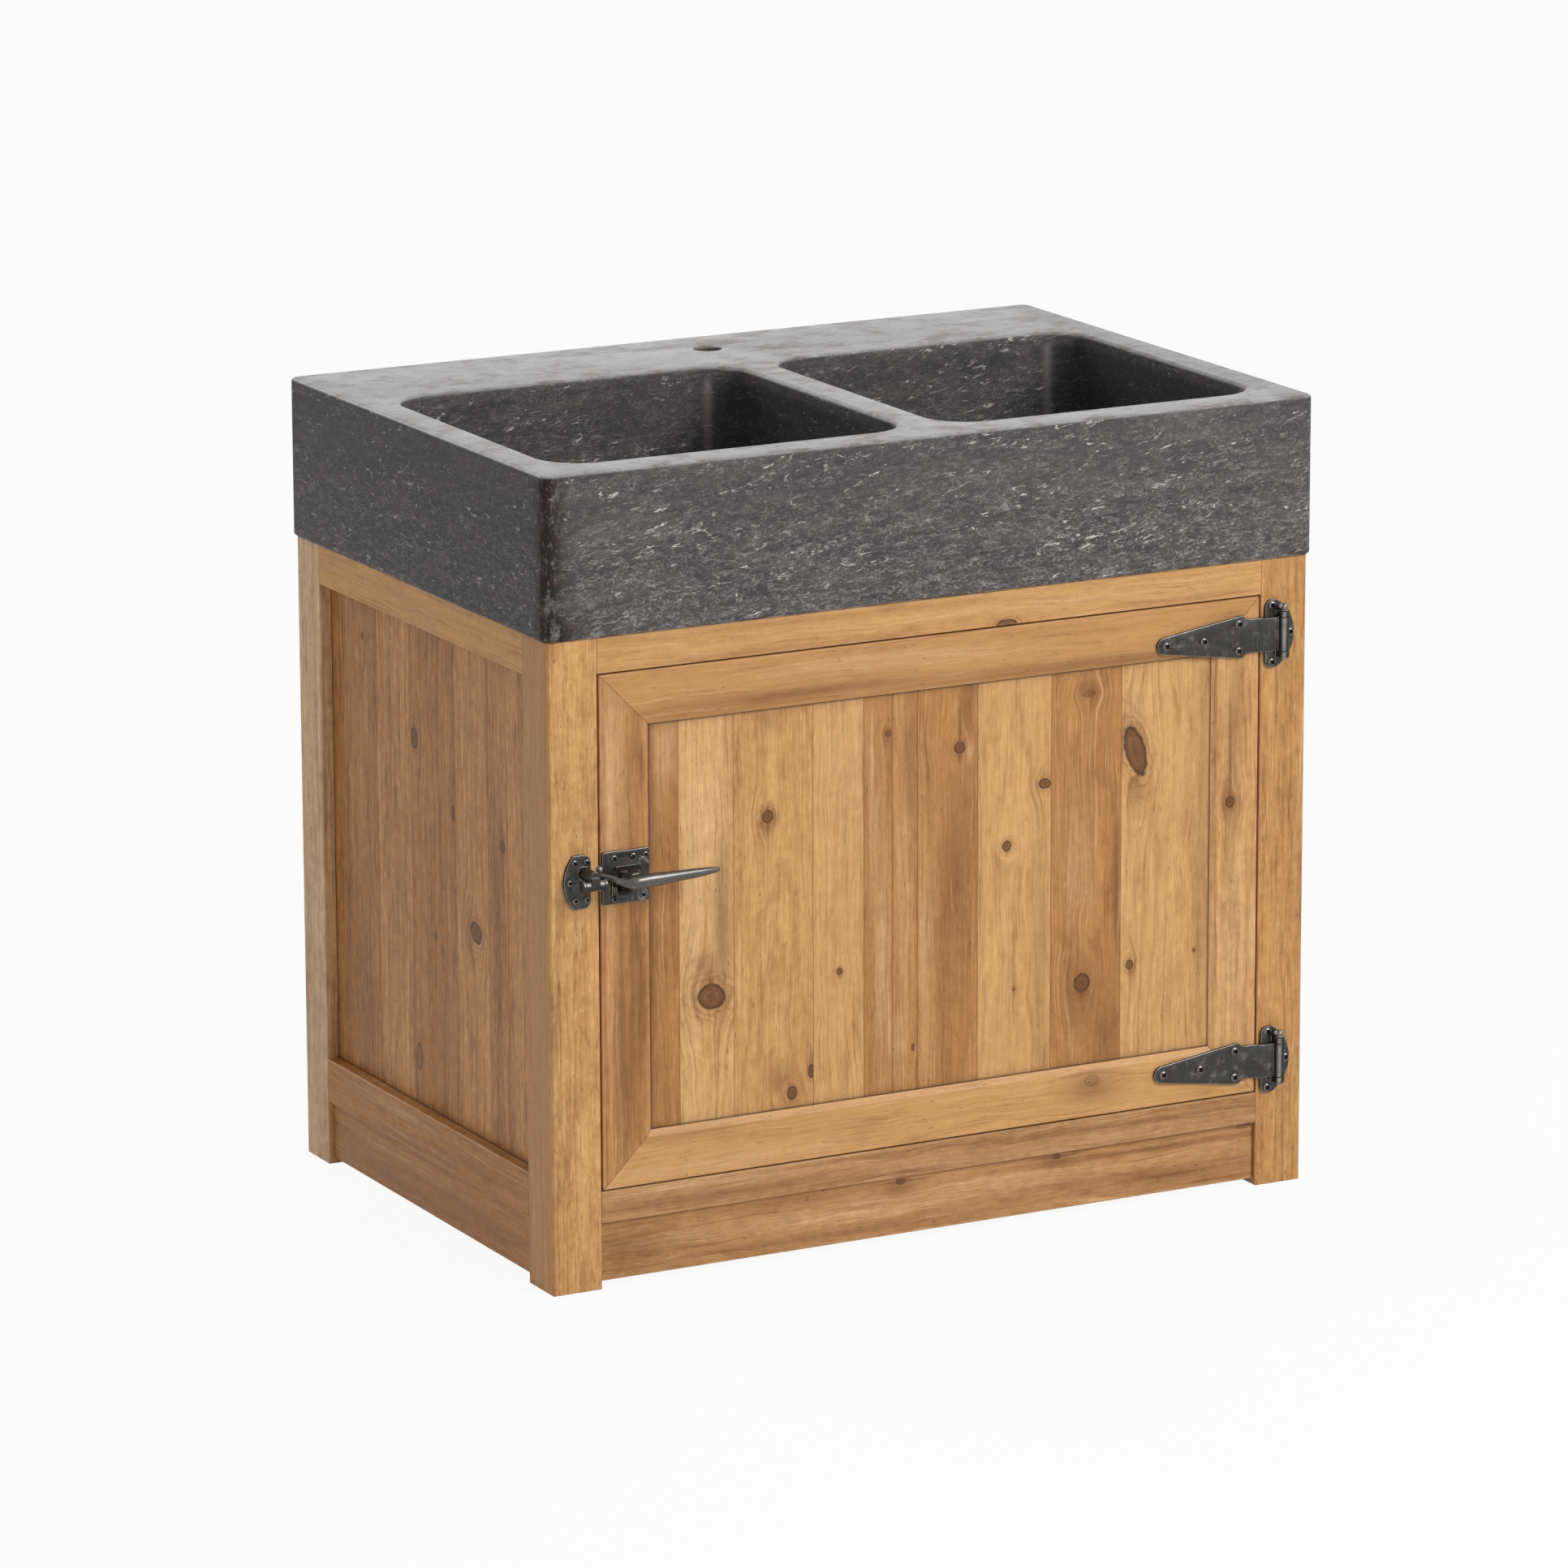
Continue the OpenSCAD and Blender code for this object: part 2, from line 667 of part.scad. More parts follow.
// The plate on the post, with the two lugs that hold the pin
module hinge_plate(z) {
    color(iron) difference() {
        union() {
            translate([hinge_plate_x, 0, z]) on_front(0, iron_t) d_outline(hinge_plate_w, hinge_plate_h);
            for (s = [lug_z, -lug_z - lug_h]) translate([pin_x, pin_y, z + s]) {
                cylinder(d = knuckle_d, h = lug_h);
                translate([-knuckle_d / 2, 0, 0]) cube([knuckle_d, pin_out - iron_t / 2, lug_h]);
            }
        }
        translate([pin_x, pin_y, z - hinge_plate_h / 2]) cylinder(d = pin_d, h = hinge_plate_h);
        hinge_plate_shanks(screw_clear);
    }
}

module hinge_plate_upper() { hinge_plate(upper_hinge_z); }
module hinge_plate_lower() { hinge_plate(lower_hinge_z); }

// The pin, with a button at each end and a ball with a small side knob on top
module hinge_pin(z) {
    top = lug_z + lug_h;
    button_d = pin_d + 3;
    ball_z = top + pin_button_h + pin_d * 0.4;
    color(iron) translate([pin_x, pin_y, z]) {
        translate([0, 0, -top]) cylinder(d = pin_d, h = 2 * top);
        for (s = [top, -top - pin_button_h]) translate([0, 0, s]) cylinder(d = button_d, h = pin_button_h);
        translate([0, 0, ball_z]) sphere(d = pin_d + 2);
        translate([-pin_d * 0.75, 0, ball_z + 1.6]) sphere(d = pin_d - 0.5);
    }
}

module hinge_pin_upper() { hinge_pin(upper_hinge_z); }
module hinge_pin_lower() { hinge_pin(lower_hinge_z); }

// Half of the strap's outline above its middle line, from the tip to the crank
neck_x = -strap_shoulder_x + 2 + strap_hollow_r;
function strap_half() = concat(
    arc(strap_tip_r - strap_l, 0, strap_tip_r, 180, 99, 6),
    [[-strap_shoulder_x - 2, strap_shoulder_h / 2 - 0.3]],
    arc(-strap_shoulder_x, strap_shoulder_h / 2 - 2, 2, 90, 60, 2),
    arc(neck_x, knuckle_half + strap_hollow_r, strap_hollow_r, 215, 270, 6),
    [[crank_x - crank_shift, knuckle_half]]
);

// The strap on the door: a tapered leaf, a crank over the plate and the knuckle round the pin
module hinge_strap(z) {
    half = strap_half();
    other = [for (i = [len(half) - 1:-1:1]) [half[i][0], -half[i][1]]];
    back = [[neck_x, 0], [crank_x, 0], [crank_x + crank_l, -strap_lift], [0, -strap_lift]];
    front = [
        [0, -strap_lift - iron_t], [crank_x + crank_l - crank_shift, -strap_lift - iron_t],
        [crank_x - crank_shift, -iron_t], [neck_x, -iron_t]
    ];
    color(iron) difference() {
        union() {
            translate([pin_x, 0, z]) on_front(0, iron_t) polygon(concat(half, other));
            translate([pin_x, front_y, z - knuckle_half]) linear_extrude(strap_neck_h)
                polygon(concat(back, front));
            translate([pin_x, pin_y, z - knuckle_half]) cylinder(d = knuckle_d, h = strap_neck_h);
        }
        translate([pin_x, pin_y, z - strap_neck_h])
            cylinder(d = pin_d + 2 * knuckle_clear, h = 2 * strap_neck_h);
        strap_shanks(screw_clear);
    }
}

module hinge_strap_upper() { hinge_strap(upper_hinge_z); }
module hinge_strap_lower() { hinge_strap(lower_hinge_z); }

// Latch

// One ear's outline, in X and distance out from the door's face:
// a round eye at the pivot on a web that widens to the plate
module ear_outline() {
    translate([0, -pivot_out]) circle(knuckle_r + 0.5);
    polygon([
        [4, -iron_t / 2], [32, -iron_t / 2], [32, -iron_t - 6], [24, -iron_t - 11],
        [5.6, -pivot_out - 3.4], [-6.4, 1 - pivot_out]
    ]);
}

// The raised ridge on the latch plate, from the plate's edge and its middle line
module latch_ridge() {
    polygon([
        [26, 3], [28.5, 5.2], [46.5, 5.4], [48.6, 17.5], [50.4, 18.6], [57.5, 12.5],
        [57.5, 15], [50.6, 21.2], [46.4, 18.8], [44.6, 7.6], [27.5, 7.4], [24.6, 4.6]
    ]);
}

module latch_plate() {
    color(iron) difference() {
        union() {
            translate([latch_plate_x, 0, latch_z - latch_plate_h / 2])
                on_front(0, iron_t) round_rect(latch_plate_w, latch_plate_h, 2.5);
            for (s = [ear_z, -ear_z - ear_h])
                translate([pivot_x, front_y, latch_z + s]) linear_extrude(ear_h) ear_outline();
            translate([latch_screw_places[4][0], 0, latch_screw_places[4][1]])
                on_front(iron_t, 1.6) difference() {
                    circle(small_head_r + 2.6);
                    circle(small_head_r + 0.8);
                }
            translate([latch_plate_x, 0, latch_z]) on_front(iron_t - 0.5, 2.1) latch_ridge();
        }
        translate([latch_plate_x, 0, latch_z]) {
            on_front(-1, iron_t + 2) polygon([[20, 3.5], [26, 3.5], [23, 11]]);
            on_front(iron_t - 1.6, 3) translate([29, 1.5]) square([17.5, 3.5]);
        }
        translate([pivot_x, pivot_y, latch_z - latch_plate_h / 2])
            cylinder(r = pivot_r, h = latch_plate_h);
        translate([pivot_x - spring_r - 1.5, 0, latch_z - 20]) on_front(-1, iron_t + 2) square([3, 15]);
        latch_shanks(screw_clear);
    }
}

// The pin through both ears, with a flat head at each end
module latch_pivot_pin() {
    end = ear_z + ear_h;
    color(iron) translate([pivot_x, pivot_y, latch_z]) {
        translate([0, 0, -end]) cylinder(r = pivot_r, h = 2 * end);
        for (s = [end, -end - 2]) translate([0, 0, s]) cylinder(r = pivot_r + 1.6, h = 2);
    }
}

// The return spring round the pivot pin, in the pocket under the lever's eye:
// one unbroken six-sided wire, with a straight leg that drops into the plate's slot
module latch_spring() {
    steps = 24;
    rings = steps * spring_turns;
    sides = 6;
    leg = pivot_out - iron_t / 2;
    points = [
        for (i = [-1:rings], j = [0:sides - 1])
            let (n = max(i, 0), a = 180 + 360 * n / steps, b = 360 * j / sides)
            let (r = spring_r + spring_wire_r * cos(b))
                [r * cos(a), r * sin(a) + (i < 0 ? leg : 0),
                 spring_z0 + spring_wire_r + spring_pitch * n / steps + spring_wire_r * sin(b)]
    ];
    last = (rings + 1) * sides;
    walls = [
        for (i = [0:rings], j = [0:sides - 1])
            let (k = i * sides, n = (j + 1) % sides)
                each [[k + j, k + sides + j, k + sides + n], [k + j, k + sides + n, k + n]]
    ];
    ends = [for (j = [1:sides - 2]) each [[0, j, j + 1], [last, last + j + 1, last + j]]];
    color(iron) translate([pivot_x, pivot_y, latch_z]) polyhedron(points, concat(walls, ends));
}

// The lever's middle line: offset from the pivot, distance out, height, radius
lever_line = [
    [-nose_l, catch_out - pivot_out, nose_z, nose_r],
    [-14, -5.5, 6.5, 3],
    [-6, 0.5, 3, 4.4],
    [2, 6.8, 0.2, 5.8],
    [12, grip_out - 0.2, -0.4, lever_r - 0.4],
    [32, grip_out, 0.3, lever_r],
    [76, 8.4, 2.2, lever_r - 1.4],
    [lever_l - 2.2, 6, 4.2, 2.2]
];

module latch_lever() {
    color(iron) difference() {
        union() {
            for (i = [0:len(lever_line) - 2]) hull() for (p = [lever_line[i], lever_line[i + 1]])
                translate([pivot_x + p[0], pivot_y - p[1], latch_z + p[2]]) sphere(p[3], $fn = 24);
            translate([pivot_x, pivot_y, latch_z]) cylinder(r = knuckle_r, h = ear_z - spring_gap);
        }
        translate([pivot_x, pivot_y, latch_z - 20]) cylinder(r = pivot_r + knuckle_clear, h = 40);
        translate([pivot_x, pivot_y, latch_z - 20])
            cylinder(r = spring_r + spring_wire_r + spring_gap, h = 20 + spring_z1 + spring_gap);
        translate([catch_x, front_y - catch_out, latch_z]) cylinder(r = catch_r / 2, h = 20);
    }
}

// The catch pin that drops behind the strike's bar, with a ball on top
module catch_pin() {
    color(iron) translate([catch_x, front_y - catch_out, latch_z]) {
        translate([0, 0, -8]) cylinder(r = catch_r, h = 8 + nose_z - nose_r - 1);
        translate([0, 0, nose_z - nose_r - 1]) cylinder(r = catch_r / 2, h = 2 * nose_r + 3);
        translate([0, 0, nose_z + nose_r + catch_ball_r]) sphere(catch_ball_r);
    }
}

// The strike: a plate, a post standing out of it and a cross bar that holds the catch pin
module strike() {
    color(iron) difference() {
        union() {
            translate([strike_x + strike_w, 0, latch_z]) mirror([1, 0, 0])
                on_front(0, iron_t) d_outline(strike_w, strike_h);
            translate([bar_mid_x, 0, latch_z + boss_z]) on_front(0, bar_out + 3) circle(post_boss_r);
            translate([bar_mid_x, 0, latch_z + 1]) on_front(bar_out - bar_r, 2 * bar_r)
                translate([-5, 0]) square([10, boss_z]);
            translate([bar_x - bar_l, front_y - bar_out, latch_z + 1]) rotate([0, 90, 0]) {
                cylinder(r = bar_r, h = bar_l);
                for (x = [0, bar_l - collar_l]) translate([0, 0, x]) cylinder(r = collar_r, h = collar_l);
            }
        }
        strike_shanks(screw_clear);
    }
}

stone_sink();
post_front_left();
post_front_right();
post_rear_left();
post_rear_right();
front_top_rail();
front_low_rail();
front_plinth();
left_top_rail();
left_low_rail();
left_plinth();
left_panel();
right_top_rail();
right_low_rail();
right_plinth();
right_panel();
rear_top_rail();
rear_low_rail();
sink_bearer();
floor_boards();
floor_ledger_left();
floor_ledger_right();
door_stop();
hinge_plate_upper();
hinge_plate_lower();
hinge_pin_upper();
hinge_pin_lower();
hinge_plate_screws();
strike();
strike_screws();
door_stile_left();
door_stile_right();
door_rail_top();
door_rail_bottom();
door_panel();
hinge_strap_upper();
hinge_strap_lower();
strap_screws();
latch_plate();
latch_screws();
latch_pivot_pin();
latch_spring();
latch_lever();
catch_pin();
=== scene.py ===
"""Kitchen sink cabinet: a two-bowl stone sink on a pine cabinet with one door,
strap hinges and a lever latch. Lengths in the materials are millimetres."""

import json
import math
from collections import namedtuple

import bmesh
import bpy
from mathutils import Matrix, Vector

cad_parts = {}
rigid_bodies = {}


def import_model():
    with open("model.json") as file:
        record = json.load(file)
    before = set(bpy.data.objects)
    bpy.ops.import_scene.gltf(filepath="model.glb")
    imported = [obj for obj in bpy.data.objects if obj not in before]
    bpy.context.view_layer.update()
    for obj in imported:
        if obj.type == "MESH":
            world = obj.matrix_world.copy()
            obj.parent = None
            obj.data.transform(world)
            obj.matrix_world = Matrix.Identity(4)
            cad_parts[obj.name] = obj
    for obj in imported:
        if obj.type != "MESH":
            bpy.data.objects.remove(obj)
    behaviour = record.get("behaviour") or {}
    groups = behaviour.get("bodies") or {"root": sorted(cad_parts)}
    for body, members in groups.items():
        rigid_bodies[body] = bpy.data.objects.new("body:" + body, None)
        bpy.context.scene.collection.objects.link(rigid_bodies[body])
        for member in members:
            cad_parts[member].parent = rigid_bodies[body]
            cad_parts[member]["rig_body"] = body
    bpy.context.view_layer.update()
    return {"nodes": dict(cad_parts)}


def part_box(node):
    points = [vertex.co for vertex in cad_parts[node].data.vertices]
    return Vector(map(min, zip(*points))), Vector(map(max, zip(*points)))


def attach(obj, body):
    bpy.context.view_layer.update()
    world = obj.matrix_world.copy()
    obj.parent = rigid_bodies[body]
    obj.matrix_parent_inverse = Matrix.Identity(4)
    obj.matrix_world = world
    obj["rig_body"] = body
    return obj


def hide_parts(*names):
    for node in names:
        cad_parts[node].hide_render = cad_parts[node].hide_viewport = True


bl_info = {
    "name": "Kitchen Sink Cabinet",
    "version": (1, 0, 0),
    "blender": (4, 5, 0),
    "location": "3D View > Sidebar > Sink Cabinet",
    "description": "Finishes a stone sink on a pine cabinet with iron hinges and a lever latch",
    "category": "Object",
}

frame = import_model()
MM = 0.001
BLACK = (0, 0, 0)
WHITE = (1, 1, 1)

# Millimetres: how far the panels' boards stand in the grooves round them, the right wall of each
# bowl, the rear and front walls of both, the lever's pivot, and how deep the iron's dents are
TONGUE = 8
BOWL_RIGHTS = (-7.5, 456)
BOWL_REAR = 181.5
BOWL_FRONT = -268
PIVOT = Vector((-416, -344.15, 482))
DENTS = 0.09

# The camera, fitted to the photograph's corners: metres and radians
CAMERA_PLACE = (-4.29936, -8.09076, 2.70454)
CAMERA_YAW = 0.48542
CAMERA_PITCH = 0.23876
CAMERA_ROLL = -0.0037


def linear(red, green, blue):
    """A screen colour, 0 to 255, as the linear colour that Blender works in."""
    def channel(value):
        share = value / 255
        return share / 12.92 if share <= 0.04045 else ((share + 0.055) / 1.055) ** 2.4
    return (channel(red), channel(green), channel(blue))


def edges(node):
    """Lowest and highest corner of a CAD node, in millimetres."""
    low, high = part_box(node)
    return low / MM, high / MM


# Settings

def colour(name, description, value):
    return bpy.props.FloatVectorProperty(
        name=name, description=description, subtype="COLOR", size=3, min=0, max=1, default=value
    )


def length(name, description, value):
    return bpy.props.FloatProperty(
        name=name, description=description, default=value * MM, min=0, unit="LENGTH", precision=5
    )


def share(name, description, value):
    return bpy.props.FloatProperty(
        name=name, description=description, subtype="FACTOR", min=0, max=1, default=value
    )


class StoneSettings(bpy.types.PropertyGroup):
    body: colour("Stone", "Ground colour of the limestone", linear(63, 61, 61))
    pale: colour("Pale mottling", "Colour of the paler mottling", linear(100, 97, 97))
    vein: colour("Veins", "Colour of the veins and scratches", linear(205, 202, 198))
    stain: colour("Stain", "Colour of the weathered stripe down one corner", linear(34, 28, 26))
    edge: length("Eased edge", "Width of the round that softens the block's edges", 1.2)
    corner: length("Corner radius", "Radius of the block's four upright corners", 10)
    gloss: share("Roughness", "Roughness of the sawn sides", 0.58)
    polish: share("Top roughness", "Roughness of the polished top", 0.27)


class PineSettings(bpy.types.PropertyGroup):
    pale: colour("Pale pine", "Tone of the palest boards", linear(208, 162, 106))
    honey: colour("Honey pine", "Tone of the golden boards", linear(200, 151, 94))
    brown: colour("Brown pine", "Tone of the browner boards", linear(174, 122, 69))
    late: colour("Late wood", "Tone of the dark lines between the growth rings", linear(134, 83, 43))
    knot: colour("Knots", "Tone of the knots", linear(66, 40, 25))
    seam: length("Board edge", "Eased edge of each panel board", 0.4)
    gloss: share("Roughness", "Roughness of the waxed surface", 0.46)


class IronSettings(bpy.types.PropertyGroup):
    body: colour("Iron", "Colour of the blackened iron", linear(66, 65, 63))
    # This colour serves the rubbed iron and the painted highlights
    wear_and_painted_light: colour("Worn iron", "Colour where the blackening has rubbed off", linear(158, 155, 150))
    edge: length("Eased edge", "Width of the round on the iron's edges", 0.45)
    gloss: share("Roughness", "Roughness of the iron", 0.42)


class StageSettings(bpy.types.PropertyGroup):
    floor: colour("Floor", "Colour of the plain floor", (0.9, 0.9, 0.9))
    ambient: bpy.props.FloatProperty(
        name="Ambient light", description="Strength of the even light from all round", default=0.38, min=0
    )
    key: bpy.props.FloatProperty(
        name="Key light", description="Power of the large soft lamp", default=312, min=0, unit="POWER"
    )
    lens: bpy.props.FloatProperty(
        name="Lens", description="Focal length of the camera", default=183.104, min=1, unit="CAMERA"
    )


# Materials

class Wire:
    """One value in a material. Python's operators on it add Math nodes."""

    def __init__(self, paint, socket):
        self.paint = paint
        self.socket = socket

    def math(self, operation, *values):
        return self.paint.node("ShaderNodeMath", {"operation": operation}, dict(enumerate(values)))

    def __add__(self, other):
        return self.math("ADD", self, other)

    def __radd__(self, other):
        return self.math("ADD", other, self)

    def __sub__(self, other):
        return self.math("SUBTRACT", self, other)

    def __rsub__(self, other):
        return self.math("SUBTRACT", other, self)

    def __mul__(self, other):
        return self.math("MULTIPLY", self, other)

    def __rmul__(self, other):
        return self.math("MULTIPLY", other, self)

    def __truediv__(self, other):
        return self.math("DIVIDE", self, other)

    def __rtruediv__(self, other):
        return self.math("DIVIDE", other, self)

    def __pow__(self, other):
        return self.math("POWER", self, other)

    def __neg__(self):
        return self.math("MULTIPLY", self, -1)

    def __abs__(self):
        return self.math("ABSOLUTE", self)

    def exp(self):
        return self.math("EXPONENT", self)

    def root(self):
        return self.math("SQRT", self)

    def whole(self):
        return self.math("FLOOR", self)

    def part(self):
        return self.math("FRACT", self)

    def sine(self):
        return self.math("SINE", self)

    def least(self, other):
        return self.math("MINIMUM", self, other)

    def most(self, other):
        return self.math("MAXIMUM", self, other)

    def bell(self, middle, width):
        """1 at the middle, falling smoothly to nothing a little past the width."""
        return (-(((self - middle) / width) ** 2)).exp()

    def step(self, low, high, start=0.0, end=1.0):
        """Smoothly from start at low to end at high."""
        sockets = {"Value": self, "From Min": low, "From Max": high, "To Min": start, "To Max": end}
        return self.paint.node("ShaderNodeMapRange", {"interpolation_type": "SMOOTHSTEP"}, sockets)

    def fall(self, low, high):
        """Smoothly from 1 at low to 0 at high."""
        return self.step(low, high, 1.0, 0.0)


class Paint:
    """A material under construction, or the world's background. Its hue is the colour so far."""

    def __init__(self, name, world=None):
        self.material = world or bpy.data.materials.new(name)
        self.material.use_nodes = True
        self.tree = self.material.node_tree
        self.tree.nodes.clear()
        self.hue = None

    def node(self, kind, settings=None, sockets=None, out=0):
        """Adds a shader node: its settings first, then the values or links of its sockets."""
        made = self.tree.nodes.new(kind)
        for key, value in (settings or {}).items():
            setattr(made, key, value)
        for key, value in (sockets or {}).items():
            if isinstance(value, Wire):
                self.tree.links.new(value.socket, made.inputs[key])
            else:
                made.inputs[key].default_value = value
        return Wire(self, made.outputs[out]) if made.outputs else None

    def point(self):
        """The three coordinates of a point of the object, in millimetres."""
        place = self.node("ShaderNodeTexCoord", out="Object")
        scaled = self.node("ShaderNodeVectorMath", {"operation": "SCALE"}, {0: place, "Scale": 1 / MM})
        split = self.node("ShaderNodeSeparateXYZ", None, {0: scaled})
        return [Wire(self, output) for output in split.socket.node.outputs]

    def vector(self, x, y, z):
        return self.node("ShaderNodeCombineXYZ", None, {0: x, 1: y, 2: z})

    def noise(self, vector, sizes, seed=0.0, detail=2.0, rough=0.5, twist=0.0):
        """Noise from 0 to 1 whose features have the given sizes in millimetres."""
        spread = tuple(1 / s for s in sizes)
        shift = (seed * 7.31, seed * 3.17 + 11, seed * 5.71 + 5)
        moved = self.node(
            "ShaderNodeVectorMath", {"operation": "MULTIPLY_ADD"}, {0: vector, 1: spread, 2: shift}
        )
        return self.node("ShaderNodeTexNoise", None, {
            "Vector": moved, "Scale": 1.0, "Detail": detail, "Roughness": rough, "Distortion": twist,
        })

    def blend(self, factor, first, second):
        """A colour between two colours."""
        sockets = {0: factor}
        for key, value in ((6, first), (7, second)):
            sockets[key] = value if isinstance(value, Wire) else (*value[:3], 1.0)
        return self.node("ShaderNodeMix", {"data_type": "RGBA", "clamp_factor": True}, sockets, out=2)

    def over(self, factor, colour):
        """Lays a colour over the hue so far."""
        self.hue = self.blend(factor, self.hue, colour)

    def dim(self, amount):
        """Makes the hue so far darker or lighter by a factor."""
        sockets = {0: self.hue, "Scale": amount}
        self.hue = self.node("ShaderNodeVectorMath", {"operation": "SCALE"}, sockets)

    def shade(self, level):
        """Makes the hue so far darker and warmer, or lighter and cooler, by a factor."""
        sockets = {0: self.hue, 1: self.vector(level ** 0.8, level, level ** 1.35)}
        self.hue = self.node("ShaderNodeVectorMath", {"operation": "MULTIPLY"}, sockets)

    def bump(self, height, distance):
        """A surface normal for a height from 0 to 1 that stands for a distance in millimetres."""
        return self.node("ShaderNodeBump", None, {"Height": height, "Distance": distance * MM})

    def direct(self):
        """1 where the camera, a reflection or clear glass looks, and 0 for light that falls."""
        first = self.node("ShaderNodeLightPath").socket.node.outputs
        seen = [Wire(self, first[f"Is {kind} Ray"]) for kind in ("Camera", "Glossy", "Transmission")]
        return seen[0].most(seen[1]).most(seen[2])

    def light(self, kind, strength):
        """White light of a strength, from a surface or from the world."""
        return self.node(kind, None, {"Color": (*WHITE, 1.0), "Strength": strength})

    def finish(self, roughness, normal, metallic=0.0, reflectance=0.5):
        """Joins the shader: colour, roughness and normal vary, and the rest is the same all over."""
        sockets = {
            "Base Color": self.hue, "Roughness": roughness, "Metallic": metallic,
            "Specular IOR Level": reflectance, "Normal": normal,
        }
        shader = self.node("ShaderNodeBsdfPrincipled", None, sockets)
        self.node("ShaderNodeOutputMaterial", {"target": "ALL"}, {"Surface": shader})
        return self.material


def mixed(first, second, amount):
    """A colour between two, worked out in Python."""
    return tuple(a + (b - a) * amount for a, b in zip(first, second))


# What the boards are like, in millimetres. A knot holds its middle across and along the grain, its half
# sizes, its lean in degrees, its darkness, and the lengths of the dark streaks above and below it. A
# stain is a soft patch: its middle across and along the grain, its half sizes, and a strength that is
# below zero where it is paler than the board.

Knot = namedtuple("Knot", "across along wide tall lean dark up down", defaults=(0, 0.9, 0, 0))

# Tone, knots and stains of each post
POSTS = {
    "post_front_left": (
        "honey", [Knot(-469, 103, 3.5, 4), Knot(-437, 288, 3, 5), Knot(-461, 655, 4, 5, dark=0.35)],
        [(-476, 340, 5, 220, 0.4), (-450, 200, 12, 160, 0.3), (-440, 560, 5, 160, -0.35)],
    ),
    "post_front_right": (
        "post", [
            Knot(452, 423, 3.6, 4.2), Knot(450, 251, 3.2, 5, up=14, down=18), Knot(470, 640, 1.6, 2.5),
        ], [
            (452, 400, 4, 260, 0.45), (474, 520, 6, 200, 0.35), (442, 170, 8, 110, 0.45),
            (466, 120, 26, 160, 0.7), (462, 330, 3, 140, -0.4),
        ],
    ),
    "post_rear_left": ("faded", [Knot(-455, 430, 3, 4)], []),
    "post_rear_right": ("honey", [Knot(460, 300, 5, 7)], []),
}

# Axis of the grain, tone, knots and stains of each rail and plinth board
RAILS = {
    "front_top_rail": (0, "honey", [Knot(719, 93, 6, 13)], [
        (722, -250, 5, 160, 0.3), (752, -100, 4, 260, 0.25), (738, 120, 6, 200, -0.3),
        (724, 330, 5, 90, 0.35),
    ]),
    "front_low_rail": (0, "low", [], [
        (101, 250, 4, 190, 0.5), (86, 120, 4, 240, -0.35), (109, -90, 3, 200, 0.4),
        (92, -300, 7, 130, 0.45), (108, -330, 3, 110, -0.4), (84, -60, 4, 160, 0.35),
    ]),
    "front_plinth": (0, "plinth", [
        Knot(74, 420, 3, 10, dark=0.6), Knot(71, -43, 3.4, 6, up=60, down=50),
        Knot(72, 165, 3, 5, up=50, down=40),
    ], [
        (46, -400, 28, 50, 0.45), (44, -170, 10, 190, -0.35), (64, 250, 4, 190, 0.5),
        (28, 340, 11, 100, 0.45), (52, 90, 9, 90, -0.35), (20, -120, 6, 240, 0.4),
        (36, 170, 5, 130, 0.3), (70, -200, 4, 150, 0.35), (62, -43, 10, 30, 0.4), (64, 165, 8, 26, 0.4),
    ]),
    "rear_top_rail": (0, "tan", [], []),
    "rear_low_rail": (0, "honey", [], []),
    "left_top_rail": (1, "golden", [], []),
    "left_low_rail": (1, "brown", [], [(100, -100, 6, 140, 0.3), (118, 120, 7, 120, -0.3)]),
    "left_plinth": (1, "brown", [Knot(56, -246, 2.4, 4)], [
        (40, -150, 8, 150, 0.35), (24, 120, 7, 140, 0.35), (56, 60, 6, 160, -0.3),
    ]),
    "right_top_rail": (1, "golden", [], []),
    "right_low_rail": (1, "honey", [Knot(110, 60, 6, 14)], []),
    "right_plinth": (1, "tan", [], []),
}

# Axis of the grain, tone, knots and stains of each member of the door's frame
DOOR_FRAME = {
    "door_stile_left": (2, "left", [], [
        (-380, 345, 7, 90, 0.7), (-378, 610, 5, 40, 0.6), (-400, 260, 22, 110, 0.35),
        (-412, 620, 14, 110, -0.35), (-392, 420, 3, 200, 0.5), (-405, 330, 4, 150, 0.45),
        (-420, 480, 4, 160, -0.4),
    ]),
    "door_stile_right": (2, "tan", [Knot(393, 474, 6, 6.5, up=165, down=10)], [
        (400, 560, 20, 60, 0.3), (402, 300, 24, 120, -0.3),
    ]),
    "door_rail_top": (0, "rail", [], [
        (668, -180, 9, 190, 0.55), (662, 230, 8, 210, 0.55), (694, -60, 12, 160, -0.4),
    ]),
    "door_rail_bottom": (0, "honey", [Knot(160, 208, 7, 10, dark=0.3)], [
        (152, 210, 18, 36, 0.55), (130, -250, 10, 160, -0.4), (168, -330, 8, 60, 0.3),
    ]),
}

